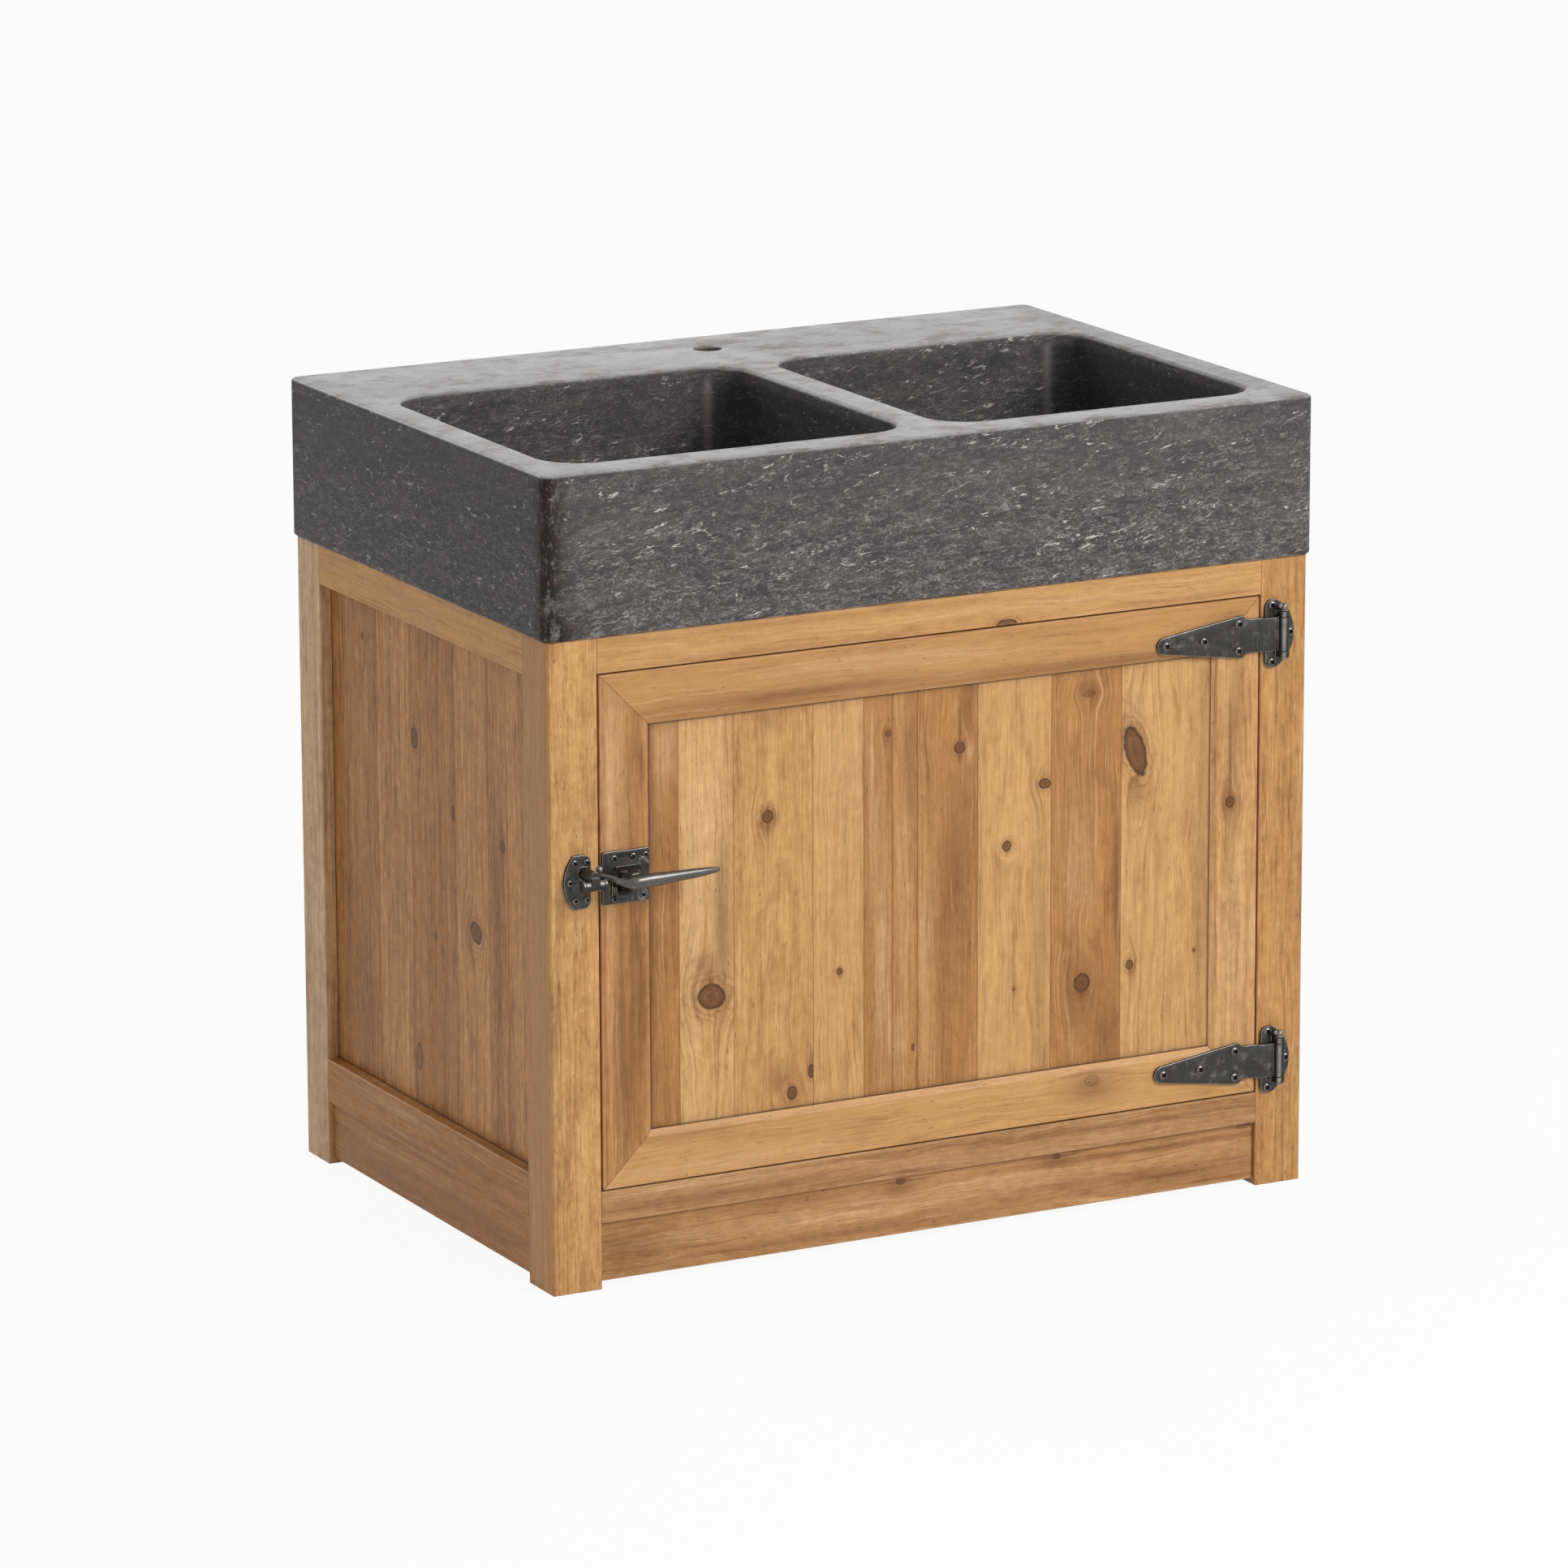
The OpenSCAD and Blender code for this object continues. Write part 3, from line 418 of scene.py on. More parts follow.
# Tone and knots of the side panels' boards from front to back, the joints between them, and their stains.
# Only the left panel has the knots and stains.
SIDE_BOARDS = (
    ("dark", [Knot(-207, 677, 4, 5)]),
    ("rail", []),
    ("left", [Knot(-164, 492, 6, 7, up=40, down=90)]),
    ("rail", [Knot(-92, 374, 15, 12, lean=20)]),
    ("brown", [
        Knot(68, 571, 9, 12, lean=-12, up=60), Knot(-34, 503, 4.5, 9, up=60), Knot(17, 346, 3, 4),
        Knot(66, 188, 9, 16, dark=0.6),
    ]),
    ("rail", [Knot(200, 456, 5, 6, dark=0.35)]),
    ("left", [Knot(208, 665, 3, 4)]),
)
SIDE_JOINTS = (-234, -176, -126, -40, 77, 170)
SIDE_STAINS = ((-240, 660, 26, 60, 0.6), (-150, 420, 14, 120, 0.35), (230, 260, 30, 120, 0.3))

# Tone, streaks, knots and stains of the door panel's boards from left to right, the middle of each one's
# growth rings across and behind it, how far those lean, and the joints between the boards
UPRIGHT = (0.006, 0.03)
DOOR_BOARDS = (
    ("brown", 0.8, [], [(-364, 430, 5, 240, 0.4), (-345, 620, 14, 40, -0.5)], (60, 70), UPRIGHT),
    ("pale", 0.5, [Knot(-289, 325.6, 18, 14.5, lean=-18, up=34, down=14)], [
        (-275, 410, 12, 90, 0.5), (-312, 420, 12, 150, -0.4), (-296, 362, 16, 16, 0.45),
        (-290, 560, 20, 80, -0.3),
    ], (-90, 60), UPRIGHT),
    ("honey", 0.35, [
        Knot(-216, 527.8, 7, 7.5, up=24, down=34), Knot(-186, 198, 6.5, 8, up=10, down=16),
        Knot(-161, 220.5, 4, 8),
    ], [(-200, 215, 22, 16, 0.4), (-213, 640, 20, 16, 0.35)], (4, 26), (0, -0.078)),
    ("golden", 0.25, [Knot(-124, 334, 4, 4.2, up=8, down=12)], [
        (-110, 580, 24, 90, -0.3),
    ], (100, 80), UPRIGHT),
    ("brown", 0.3, [Knot(-60, 607, 4.5, 3.5, dark=0.7)], [
        (-60, 600, 8, 14, 0.4), (-66, 330, 12, 150, -0.35), (-80, 520, 8, 120, -0.3),
    ], (-80, 60), UPRIGHT),
    ("left", 0.3, [Knot(-28, 231, 2, 4.5)], [
        (-40, 420, 8, 160, -0.3), (-45, 240, 8, 30, -0.5), (-34, 560, 9, 60, 0.3),
    ], (30, 60), UPRIGHT),
    ("brown", 0.6, [Knot(33.4, 579.4, 7, 7, up=75, down=26)], [
        (28, 430, 22, 110, 0.45), (45, 640, 10, 60, 0.45), (46, 575, 7, 12, -0.5),
        (-10, 340, 9, 160, -0.35),
    ], (110, 50), UPRIGHT),
    ("golden", 0.3, [
        Knot(145.7, 524, 8, 6, lean=-8), Knot(95.7, 455.5, 6, 6.4, up=10, down=14),
        Knot(105.7, 283, 1.6, 1.8),
    ], [(140, 330, 12, 200, 0.25)], (-6, 20), (0.01, -0.066)),
    ("brown", 0.6, [Knot(196.2, 279, 10.5, 11, up=18, down=30), Knot(204, 624, 8, 4, dark=0.45)], [
        (242, 400, 5, 70, 0.7), (204, 630, 14, 12, 0.5), (228, 210, 16, 40, 0.45),
        (196, 262, 26, 36, 0.4), (190, 420, 22, 70, -0.3),
    ], (80, 60), UPRIGHT),
    ("golden", 0.45, [
        Knot(266.8, 549.4, 12.5, 31, lean=18, up=14, down=30), Knot(260.7, 293, 5, 6, up=12, down=10),
        Knot(348, 299.5, 1.6, 2),
    ], [
        (262, 600, 12, 24, -0.5), (275, 495, 12, 20, 0.3), (356, 430, 9, 200, 0.3),
    ], (10, 24), (0, -0.06)),
)
DOOR_JOINTS = (-330, -260, -158, -92, -55, -22, 57, 154.5, 248)


def pine(name, grain, box, tone, seed, knots=(), stains=(), *, pith, lean, spacing,
         streaks, calm=1.0, opening=None, mitre=None, shaded_left_face=False):
    """Pine for one board: grain is the axis its fibres run along, box its corners in millimetres.
    Pith is the middle of the growth rings, lean how far it slants, and spacing the width of a ring.
    Streaks scales the dark lines and smudges, and calm the contrast of the fibres.
    A panel's board has an opening, whose edges get painted shade where the frame meets them, and a door
    member has a mitre.
    The board's left face can be painted browner, as painted shade."""
    look = bpy.context.scene.cabinet_pine
    paint = Paint("pine_" + name)
    point = paint.point()
    low, high = box
    middle = (low + high) / 2
    half = (high - low) / 2
    sides = [axis for axis in range(3) if axis != grain]
    face, deep = sorted(sides, key=lambda axis: -half[axis])
    across = point[face] - middle[face]
    depth = point[deep] - middle[deep]
    along = point[grain]

    # The grain wanders a little, and knots push it aside
    wander = paint.noise(paint.vector(across, depth, along), (40, 60, 100), seed + 17, 2, 0.5)
    lines = across + (wander - 0.5) * 14
    near = 0.0
    marks = []
    for knot in knots:
        du = across - (knot.across - middle[face])
        dw = along - knot.along
        cosine = math.cos(math.radians(knot.lean))
        sine = math.sin(math.radians(knot.lean))
        ku = (du * cosine + dw * sine) / knot.wide
        kw = (dw * cosine - du * sine) / knot.tall
        marks.append((knot, du, dw, ku, kw))
        reach = (du / (knot.wide * 2.6)) ** 2 + (dw / (knot.tall * 3.6)) ** 2
        bulge = (-reach).exp()
        lines = lines - du * 0.84 * bulge
        near = near + bulge
    place = paint.vector(lines, depth, along)

    # Growth rings
    warp = paint.noise(place, (40, 46, 260), seed, 2, 0.5) * 20
    ripple = paint.noise(place, (9, 9, 120), seed + 3, 2, 0.5) * 3
    ring_u = lines - pith[0] + along * lean[0]
    ring_v = depth - pith[1] + along * lean[1]
    radius = (ring_u * ring_u + ring_v * ring_v).root() + warp + ripple
    uneven = paint.noise(paint.vector(radius, 0.0, 0.0), (17, 1, 1), seed + 5, 2, 0.6)
    turn = radius / spacing + uneven * 2.4
    ring = turn.part()
    late = ring.step(0.35, 0.88) * ring.fall(0.88, 1.0)
    strength = paint.noise(paint.vector(turn.whole(), 0.0, along), (1.7, 1, 240), seed + 6, 1, 0.5)
    late = late * strength.step(0.32, 0.72, 0.05, 1.0)

    # Fibres, bands, streaks and smudges
    fibre = paint.noise(place, (1.1, 1.1, 42), seed + 7, 3, 0.62)
    thread = paint.noise(place, (2.3, 2.6, 120), seed + 8, 2, 0.6)
    band = paint.noise(place, (8, 12, 380), seed + 13, 2, 0.6)
    broad = paint.noise(place, (26, 40, 420), seed + 14, 2, 0.5)
    streak = paint.noise(place, (3.4, 9, 150), seed + 9, 3, 0.6).step(0.55, 0.74)
    smudge = paint.noise(place, (15, 40, 70), seed + 10, 4, 0.62).step(0.52, 0.76)
    silk = paint.noise(place, (12, 14, 17), seed + 11, 3, 0.55)
    fleck = paint.noise(place, (1.6, 3, 10), seed + 12, 1, 0.4).step(0.72, 0.79)

    dark = mixed(look.late, look.knot, 0.45)
    paint.hue = paint.blend(late * (near * 0.6 + 0.3 * calm), tone, look.late)
    paint.over(streak * (0.3 + streaks * 0.5), mixed(look.late, look.knot, 0.15))
    paint.over(smudge * (0.25 + streaks * 0.4), look.late)
    gleam = paint.noise(place, (2.8, 5, 110), seed + 15, 2, 0.6).step(0.56, 0.72)
    paint.over(gleam * 0.4, mixed(look.pale, WHITE, 0.08))
    for at_across, at_along, wide, tall, strength in stains:
        du = (across - (at_across - middle[face])) / wide
        dw = (along - at_along) / tall
        blot = (-(du * du + dw * dw)).exp() * (thread * 0.9 + band * 0.9 + 0.1)
        other = dark if strength > 0 else mixed(look.pale, WHITE, 0.07)
        paint.over(blot * abs(strength), other)
    paint.over(fleck * 0.55, look.knot)
    curl = paint.noise(place, (4, 6, 11), seed + 18, 2, 0.6, 0.4)
    level = (fibre - 0.5) * 0.66 + (thread - 0.5) * 0.52 + (band - 0.5) * 0.45 + (broad - 0.5) * 0.5
    paint.shade((level + (silk - 0.5) * 0.5 + (curl - 0.5) * 0.4) * calm + 0.985)
    height = fibre * 0.5 + late * 0.4 - streak * 0.2

    # Knots: a ringed core with a dark rim, a brown halo and streaks in line with the grain
    for index, (knot, du, dw, ku, kw) in enumerate(marks):
        spot = paint.vector(du, depth, dw)
        rough = paint.noise(spot, (knot.wide * 0.7,) * 3, seed + index + 20, 3, 0.6)
        far = (ku * ku + kw * kw).root() + (rough - 0.5) * 0.36
        inside = far.fall(0.84, 1.0)
        rings = (far * 16.0 + rough * 6.0).sine() * 0.5 + 0.5
        rim = far.bell(0.95, 0.12)
        halo = far.bell(0.9, 0.85) * far.step(0.8, 1.0)
        swirl = ((far * 11.0 + rough * 9.0).sine() * 0.5 + 0.5) ** 3 * far.bell(1.4, 0.8)
        core = far.fall(0.05, 0.35)
        paint.over(halo * 0.22 * knot.dark, look.late)
        paint.over(swirl * 0.55 * knot.dark, look.late)
        wood = paint.blend(rings * 0.6, mixed(look.knot, look.late, 0.7), look.knot)
        wood = paint.blend(core * 0.6, wood, mixed(look.knot, BLACK, 0.5))
        paint.over(inside * knot.dark, wood)
        paint.over(rim * knot.dark, mixed(look.knot, BLACK, 0.5))
        for reach, sign in ((knot.up, 1), (knot.down, -1)):
            if reach:
                run = dw * sign
                wide = run * (0.35 / reach) + knot.wide * 0.2 + 0.5
                fade = run.step(0, knot.tall * 0.8) * run.fall(reach * 0.3, reach)
                sway = du + (rough - 0.5) * 3.0
                line = (sway / wide).bell(0, 1) * fade
                paint.over(line * 0.7, dark)
        height = height - rim * 0.6

    to_side = half[face] - abs(across)
    if opening:
        # Dark seams between the boards, and painted shade where the frame meets them
        seam = to_side.fall(0.2, 1.5)
        paint.over(seam * (thread * 0.8 - 0.05), dark)
        for start, end, value in zip(*opening, (point[face], along)):
            for line in (start, end):
                painted_shade = value.bell(line, 1.7) + value.bell(line, 7.0) * 0.35
                paint.over(painted_shade * 0.62, mixed(look.knot, BLACK, 0.3))
    else:
        # Pale on the corners: partly rubbed wear, partly a painted highlight on the rounded edges
        to_face = half[deep] - abs(depth)
        pale_marks = (to_side + to_face).fall(0.4, 2.4) * thread.step(0.3, 0.6)
        paint.over(pale_marks * 0.35, mixed(look.pale, WHITE, 0.15))
    if mitre:
        half_x, middle_z, half_z = mitre
        off = (half_x - abs(point[0])) - (half_z - abs(point[2] - middle_z))
        paint.over(off.bell(0, 0.9) * 0.6, dark)
    # Painted shade: the left face is painted browner
    if shaded_left_face:
        paint.over(point[0].step(low.x + 0.3, low.x + 1.5, 0.5, 0.0), look.brown)

    roughness = fibre * 0.16 + late * -0.06 + look.gloss - 0.05
    return paint.finish(roughness, paint.bump(height, 0.16), reflectance=0.3)


def limestone():
    """Charcoal limestone with pale broken veins, hair-like scratches and a weathered corner, and painted
    sheen, highlights and shade.
    """
    look = bpy.context.scene.cabinet_stone
    low, high = edges("stone_sink")
    paint = Paint("limestone")
    x, y, z = paint.point()
    bed = paint.vector(x, y, z + y * 0.05 - x * 0.04)
    slope = paint.vector(x, y, z + y * 0.08 - x * 0.17)
    plain = paint.vector(x, y, z)
    cloud = paint.noise(bed, (150, 150, 34), 1, 4, 0.6)
    grain = paint.noise(plain, (3.2, 3.2, 3.2), 2, 4, 0.7)
    speckle = paint.noise(plain, (1.1, 1.1, 1.1), 3, 2, 0.7)
    layer = paint.noise(bed, (95, 95, 7), 4, 3, 0.6)
    fine = paint.noise(bed, (16, 16, 2.2), 15, 3, 0.65)

    mottle = cloud.step(0.3, 0.75) * 0.4 + (grain - 0.5) + 0.08
    paint.hue = paint.blend(mottle, look.body, look.pale)
    paint.over(cloud.step(0.4, 0.7, 0.0, 0.14), linear(88, 77, 70))
    paint.dim((speckle - 0.5) * 0.55 + (layer - 0.5) * 0.7 + (fine - 0.5) * 0.8 + 0.975)

    # Hair-like scratches, curled and short, some pale and some dark
    low_part = z.step(high.z - 20, low.z + 30, 0.55, 1.1)
    for index, (size, twist, width, strength, tint) in enumerate((
        (15, 1.2, 0.05, 0.24, look.vein),
        (23, 0.8, 0.036, 0.26, look.vein),
        (10, 1.6, 0.06, 0.18, look.vein),
        (17, 1.0, 0.06, 0.36, mixed(look.body, BLACK, 0.6)),
    )):
        curl = paint.noise(bed, (size, size, size * 0.38), 5 + index * 1.3, 2, 0.6, twist)
        gap = paint.noise(bed, (size * 1.1, size * 1.1, size * 0.5), 25 + index, 2, 0.6).step(0.44, 0.6)
        hair = abs(curl - 0.5).fall(0.0, width) * gap
        paint.over(hair * low_part * strength, tint)

    # Long thin veins in the bedding, broken into dashes
    wave = paint.noise(slope, (120, 120, 22), 7, 4, 0.55, 0.3)
    dash = paint.noise(slope, (13, 13, 8), 8, 2, 0.6).step(0.5, 0.62)
    zone = paint.noise(bed, (90, 90, 40), 9, 1, 0.5).step(0.36, 0.5)
    vein = abs(wave - 0.5).fall(0.0, 0.012) * dash * zone
    wave_two = paint.noise(slope, (70, 70, 11), 10, 3, 0.6, 0.5)
    zone_two = paint.noise(bed, (60, 60, 14), 17, 1, 0.5).step(0.5, 0.6)
    vein_two = abs(wave_two - 0.52).fall(0.0, 0.01) * dash * zone_two
    paint.over(vein * 0.9 + vein_two * 0.5, look.vein)

    # Pale specks
    cell = paint.node("ShaderNodeTexVoronoi", None, {"Vector": plain, "Scale": 0.16})
    dot = cell.fall(0.05, 0.11) * cloud.step(0.5, 0.6)
    paint.over(dot * 0.35, look.vein)

    # The lower edge is rubbed pale here and there
    pale_marks = z.fall(low.z + 0.8, low.z + 2.6)
    chips = paint.noise(plain, (16, 16, 16), 18, 2, 0.6).step(0.42, 0.56)
    paint.over(pale_marks * chips * 0.35, look.vein)

    # The weathered stripe down the front left corner
    spread = z.step(low.z, low.z + 50, 40.0, 19.0)
    beside = x.bell(low.x + 5, spread) * y.bell(low.y, 20)
    patch = paint.noise(plain, (12, 12, 26), 11, 4, 0.68).step(0.38, 0.54)
    paint.over(beside * patch * 1.15, look.stain)
    rust = paint.noise(plain, (4, 4, 5), 12, 3, 0.6).step(0.6, 0.72)
    paint.over(beside * rust * 0.8, linear(150, 108, 84))

    # Inside the bowls: a painted highlight down each rear corner, and painted shade towards the right
    # wall
    under = z.fall(high.z - 22, high.z - 8) * y.fall(BOWL_REAR, BOWL_REAR + 1.5)
    for wall in BOWL_RIGHTS:
        streak = x.bell(wall - 31, 5) * y.step(128, 150) * under
        paint.over(streak * 0.3, look.vein)
        shade = x.bell(wall, 34) * y.step(BOWL_FRONT, BOWL_FRONT + 6) * under
        paint.over(shade * 0.5, mixed(look.body, BLACK, 0.75))
    # Painted shade over the bowls' insides, and on the block's left face
    outer = BOWL_RIGHTS[1]
    within = abs(x).fall(outer + 0.5, outer + 2) * y.step(BOWL_FRONT - 7, BOWL_FRONT) * under
    left = x.fall(low.x + 0.5, low.x + 3.0)
    paint.dim(1.0 - within * 0.15 - left * 0.19)

    # The top is polished, with faint brown clouds, and painted paler as a sheen, less so on the right rim
    top = z.step(high.z - 4.0, high.z - 0.8)
    wear_and_painted_light = paint.noise(plain, (38, 30, 20), 14, 4, 0.62)
    sheen = mixed(linear(172, 170, 170), look.body, 0.42)
    sheen = paint.blend(x.step(BOWL_RIGHTS[1] - 4, BOWL_RIGHTS[1] + 18), linear(172, 170, 170), sheen)
    paint.over(top * wear_and_painted_light.step(0.3, 0.7, 0.95, 0.6), sheen)
    paint.over(top * wear_and_painted_light.step(0.5, 0.66) * 0.6, linear(118, 103, 94))
    scuff = paint.noise(plain, (26, 9, 9), 16, 3, 0.65, 0.8).step(0.55, 0.7)
    paint.over(top * scuff * 0.5, look.vein)
    # A painted pool of light on the rear ledge
    glow = x.bell(60, 240) * y.step(BOWL_REAR + 1.5, BOWL_REAR + 23.5) * 0.09
    paint.dim(((grain - 0.5) * 0.5 + (speckle - 0.5) * 0.4 + glow) * top + 1.0)

    height = grain * 0.6 + speckle * 0.4 - vein * 0.4
    sides = (grain - 0.5) * 0.25 + (cloud - 0.5) * 0.15 + look.gloss
    polish = (grain - 0.5) * 0.1 + (wear_and_painted_light - 0.5) * 0.2 + look.polish
    roughness = sides + (polish - sides) * top
    relief = height * (1.0 - top * 0.7)
    return paint.finish(roughness, paint.bump(relief, 0.22), reflectance=0.2)


def iron(name, seed, wear, gloss=0.0, dents=DENTS):
    """Blackened iron: mottled, with the blackening rubbed off the edges and here and there, and
    highlights painted on the edges.
    Gloss makes it smoother than the settings say, and dents are their depth in millimetres.
    The number on each face is above zero where the iron is rubbed and where a highlight is painted, and
    below zero where shade is painted."""
    look = bpy.context.scene.cabinet_iron
    paint = Paint("iron_" + name)
    x, y, z = paint.point()
    plain = paint.vector(x, y, z)
    cloud = paint.noise(plain, (11, 11, 11), seed + 1, 4, 0.65)
    grain = paint.noise(plain, (1.6, 1.6, 1.6), seed + 2, 3, 0.65)
    scratch = paint.noise(plain, (2.2, 2.2, 24), seed + 3, 3, 0.6).step(0.58, 0.7)
    edge = paint.node("ShaderNodeAttribute", {"attribute_name": "wear_and_painted_light"}, None, "Fac")
    # Paler where the iron is rubbed and where highlights are painted
    pale_marks = edge * (cloud * 0.7 + 0.45) + cloud.step(0.52, 0.8) * wear + scratch * 0.12
    paint.hue = paint.blend(pale_marks, look.body, look.wear_and_painted_light)
    rough = min(dents / DENTS, 1.0)
    mottle = (grain - 0.5) * 0.6 + (cloud - 0.5) * 0.5
    # Painted shade: faces with a number below zero are darker
    paint.dim((mottle * (0.4 + rough * 0.6) + 1.0) * (edge.least(0.0) * 0.9 + 1.0))
    roughness = ((grain - 0.5) * 0.25 + (cloud - 0.5) * 0.25) * rough - edge * 0.08 + (look.gloss - gloss)
    height = grain * 0.5 + cloud * 0.5
    return paint.finish(roughness, paint.bump(height, dents), metallic=0.9)


# Meshes

def placed(name, data):
    """A new object of the scene for a mesh, a lamp or a camera."""
    thing = bpy.data.objects.new(name, data)
    bpy.context.scene.collection.objects.link(thing)
    return thing


def built(name, shape):
    """A new piece from a mesh under construction."""
    mesh = bpy.data.meshes.new(name)
    shape.to_mesh(mesh)
    shape.free()
    return placed(name, mesh)


def dress(piece, material):
    """Gives a piece one material."""
    piece.data.materials.clear()
    piece.data.materials.append(material)


def islands(shape):
    """Groups of faces that hang together."""
    left = set(shape.faces)
    while left:
        group = [left.pop()]
        for side in group:
            for edge in side.edges:
                for other in edge.link_faces:
                    if other in left:
                        left.discard(other)
                        group.append(other)
        yield group


def rounded(shape, chosen, width, segments, clamp=False):
    """Rounds the chosen edges of a mesh under construction and gives the new faces."""
    return bmesh.ops.bevel(
        shape, geom=chosen, offset=width, offset_type="OFFSET", segments=segments,
        profile=0.5, affect="EDGES", clamp_overlap=clamp,
    )["faces"]


def uprights(shape):
    """The upright edges at the four outer corners of a block."""
    outer = set(shape.verts)
    for axis in (0, 1):
        span = sorted(vert.co[axis] for vert in shape.verts)
        outer = {
            vert for vert in outer if min(vert.co[axis] - span[0], span[-1] - vert.co[axis]) < 0.1 * MM
        }
    return [edge for edge in shape.edges if outer.issuperset(edge.verts)]


def refined(node, name, width, segments=2, limit=30, smooth=38, shine=None, corner=0.0):
    """A piece that stands for a CAD node: its solid with rounded edges and smooth curves.
    The faces of the rounded edges carry a number for rubbed iron and painted highlights, and shine gives
    it to more faces, for painted highlights and painted shade.
    Corner is the radius of a block's upright outer edges, if they have a larger one."""
    source = frame["nodes"][node]
    shape = bmesh.new()
    shape.from_mesh(source.data)
    bmesh.ops.remove_doubles(shape, verts=shape.verts, dist=0.01 * MM)
    bmesh.ops.dissolve_limit(shape, angle_limit=math.radians(0.8), verts=shape.verts, edges=shape.edges)
    wear_and_painted_light = shape.faces.layers.float.new("wear_and_painted_light")
    if corner:
        rounded(shape, uprights(shape), corner, 6)
    if width:
        sharp = [
            edge for edge in shape.edges
            if len(edge.link_faces) == 2 and edge.calc_face_angle(0) > math.radians(limit)
        ]
        for side in rounded(shape, sharp, width, segments):
            side[wear_and_painted_light] = 1.0
    if shine:
        shine(shape, wear_and_painted_light)
    bmesh.ops.triangulate(shape, faces=[f for f in shape.faces if len(f.verts) > 4])
    for side in shape.faces:
        side.smooth = True
    for edge in shape.edges:
        flat = len(edge.link_faces) != 2 or edge.calc_face_angle(0) > math.radians(smooth)
        edge.smooth = not flat
    piece = built(name, shape)
    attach(piece, source["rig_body"])
    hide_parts(node)
    return piece


def ringed(shape, wear_and_painted_light):
    """Marks the screws: a ring of painted highlight round a recess of painted shade."""
    recess_share = 0.74
    head_depth = 0.9 * MM
    for group in islands(shape):
        xs, ys, zs = zip(*(corner.co for side in group for corner in side.verts))
        middle_x = (min(xs) + max(xs)) / 2
        middle_z = (min(zs) + max(zs)) / 2
        radius = (max(xs) - min(xs)) / 2
        for side in group:
            spot = side.calc_center_median()
            away = math.hypot(spot.x - middle_x, spot.z - middle_z) / radius
            side.normal_update()
            sunk = abs(side.normal.y) < 0.3 or spot.y > min(ys) + head_depth
            side[wear_and_painted_light] = -0.9 if sunk and away < recess_share else 0.4


def jutting(limit, value):
    """Marks the faces that stand out in front of a plane, given in millimetres: a value above zero paints
    them paler as a highlight, one below zero darker as shade.
    """
    def mark(shape, wear_and_painted_light):
        for side in shape.faces:
            if side.calc_center_median().y < limit * MM:
                side[wear_and_painted_light] = value if value < 0 else max(side[wear_and_painted_light], value)
    return mark


def shone(limit, toward, power, bright, dark):
    """Marks the faces in front of a plane: a painted highlight where they face a direction, painted shade
    elsewhere.
    """
    def mark(shape, wear_and_painted_light):
        for side in shape.faces:
            if side.calc_center_median().y < limit * MM:
                side.normal_update()
                side[wear_and_painted_light] = max(0.0, side.normal.dot(toward)) ** power * bright - dark
    return mark


# Painted highlights: the strike's cross bar along its upper side, and a hinge's knuckle down its front,
# with painted shade on their other faces
BAR = shone(-334, Vector((0, -0.6, 0.8)), 4, 1.1, 0.3)
KNUCKLE = shone(-327, Vector((-0.466, -0.885, 0)), 10, 1.3, 0.45)

# The lever's bar: how far out from the pivot it stands, the steps between its points, and its sides
LEVER_OUT = 10.1
LEVER_STEPS = 8
LEVER_SIDES = 24

# The points of the bar: offset from the pivot, distance out, height and radius, in millimetres
LEVER_LINE = (
    (-25, -11.4, 9, 3.3), (-14, -5.5, 6.8, 3.2), (-6, 0.5, 3.2, 4.2), (2, 6.8, 0.9, 6.2),
    (12, 10.1, 1.3, 7.9), (32, 10.1, 2.2, 7.8), (52, 9.6, 2.6, 6.9), (76, 8.4, 2.9, 5.9),
    (97, 7.2, 3.1, 4.9), (115, 6, 3.3, 3.0),
)

# Radius and height of the four rims of the lever's eye, round its outside and back up its bore
EYE_RIMS = ((6, 7.4), (6, 0), (2.6, 0), (2.6, 7.4))
EYE_SIDES = 32


def bridged(shape, first, second):
    """Faces between two rings of as many corners."""
    for here, (one, other) in enumerate(zip(first, second)):
        after = (here + 1) % len(first)
        shape.faces.new((one, first[after], second[after], other))


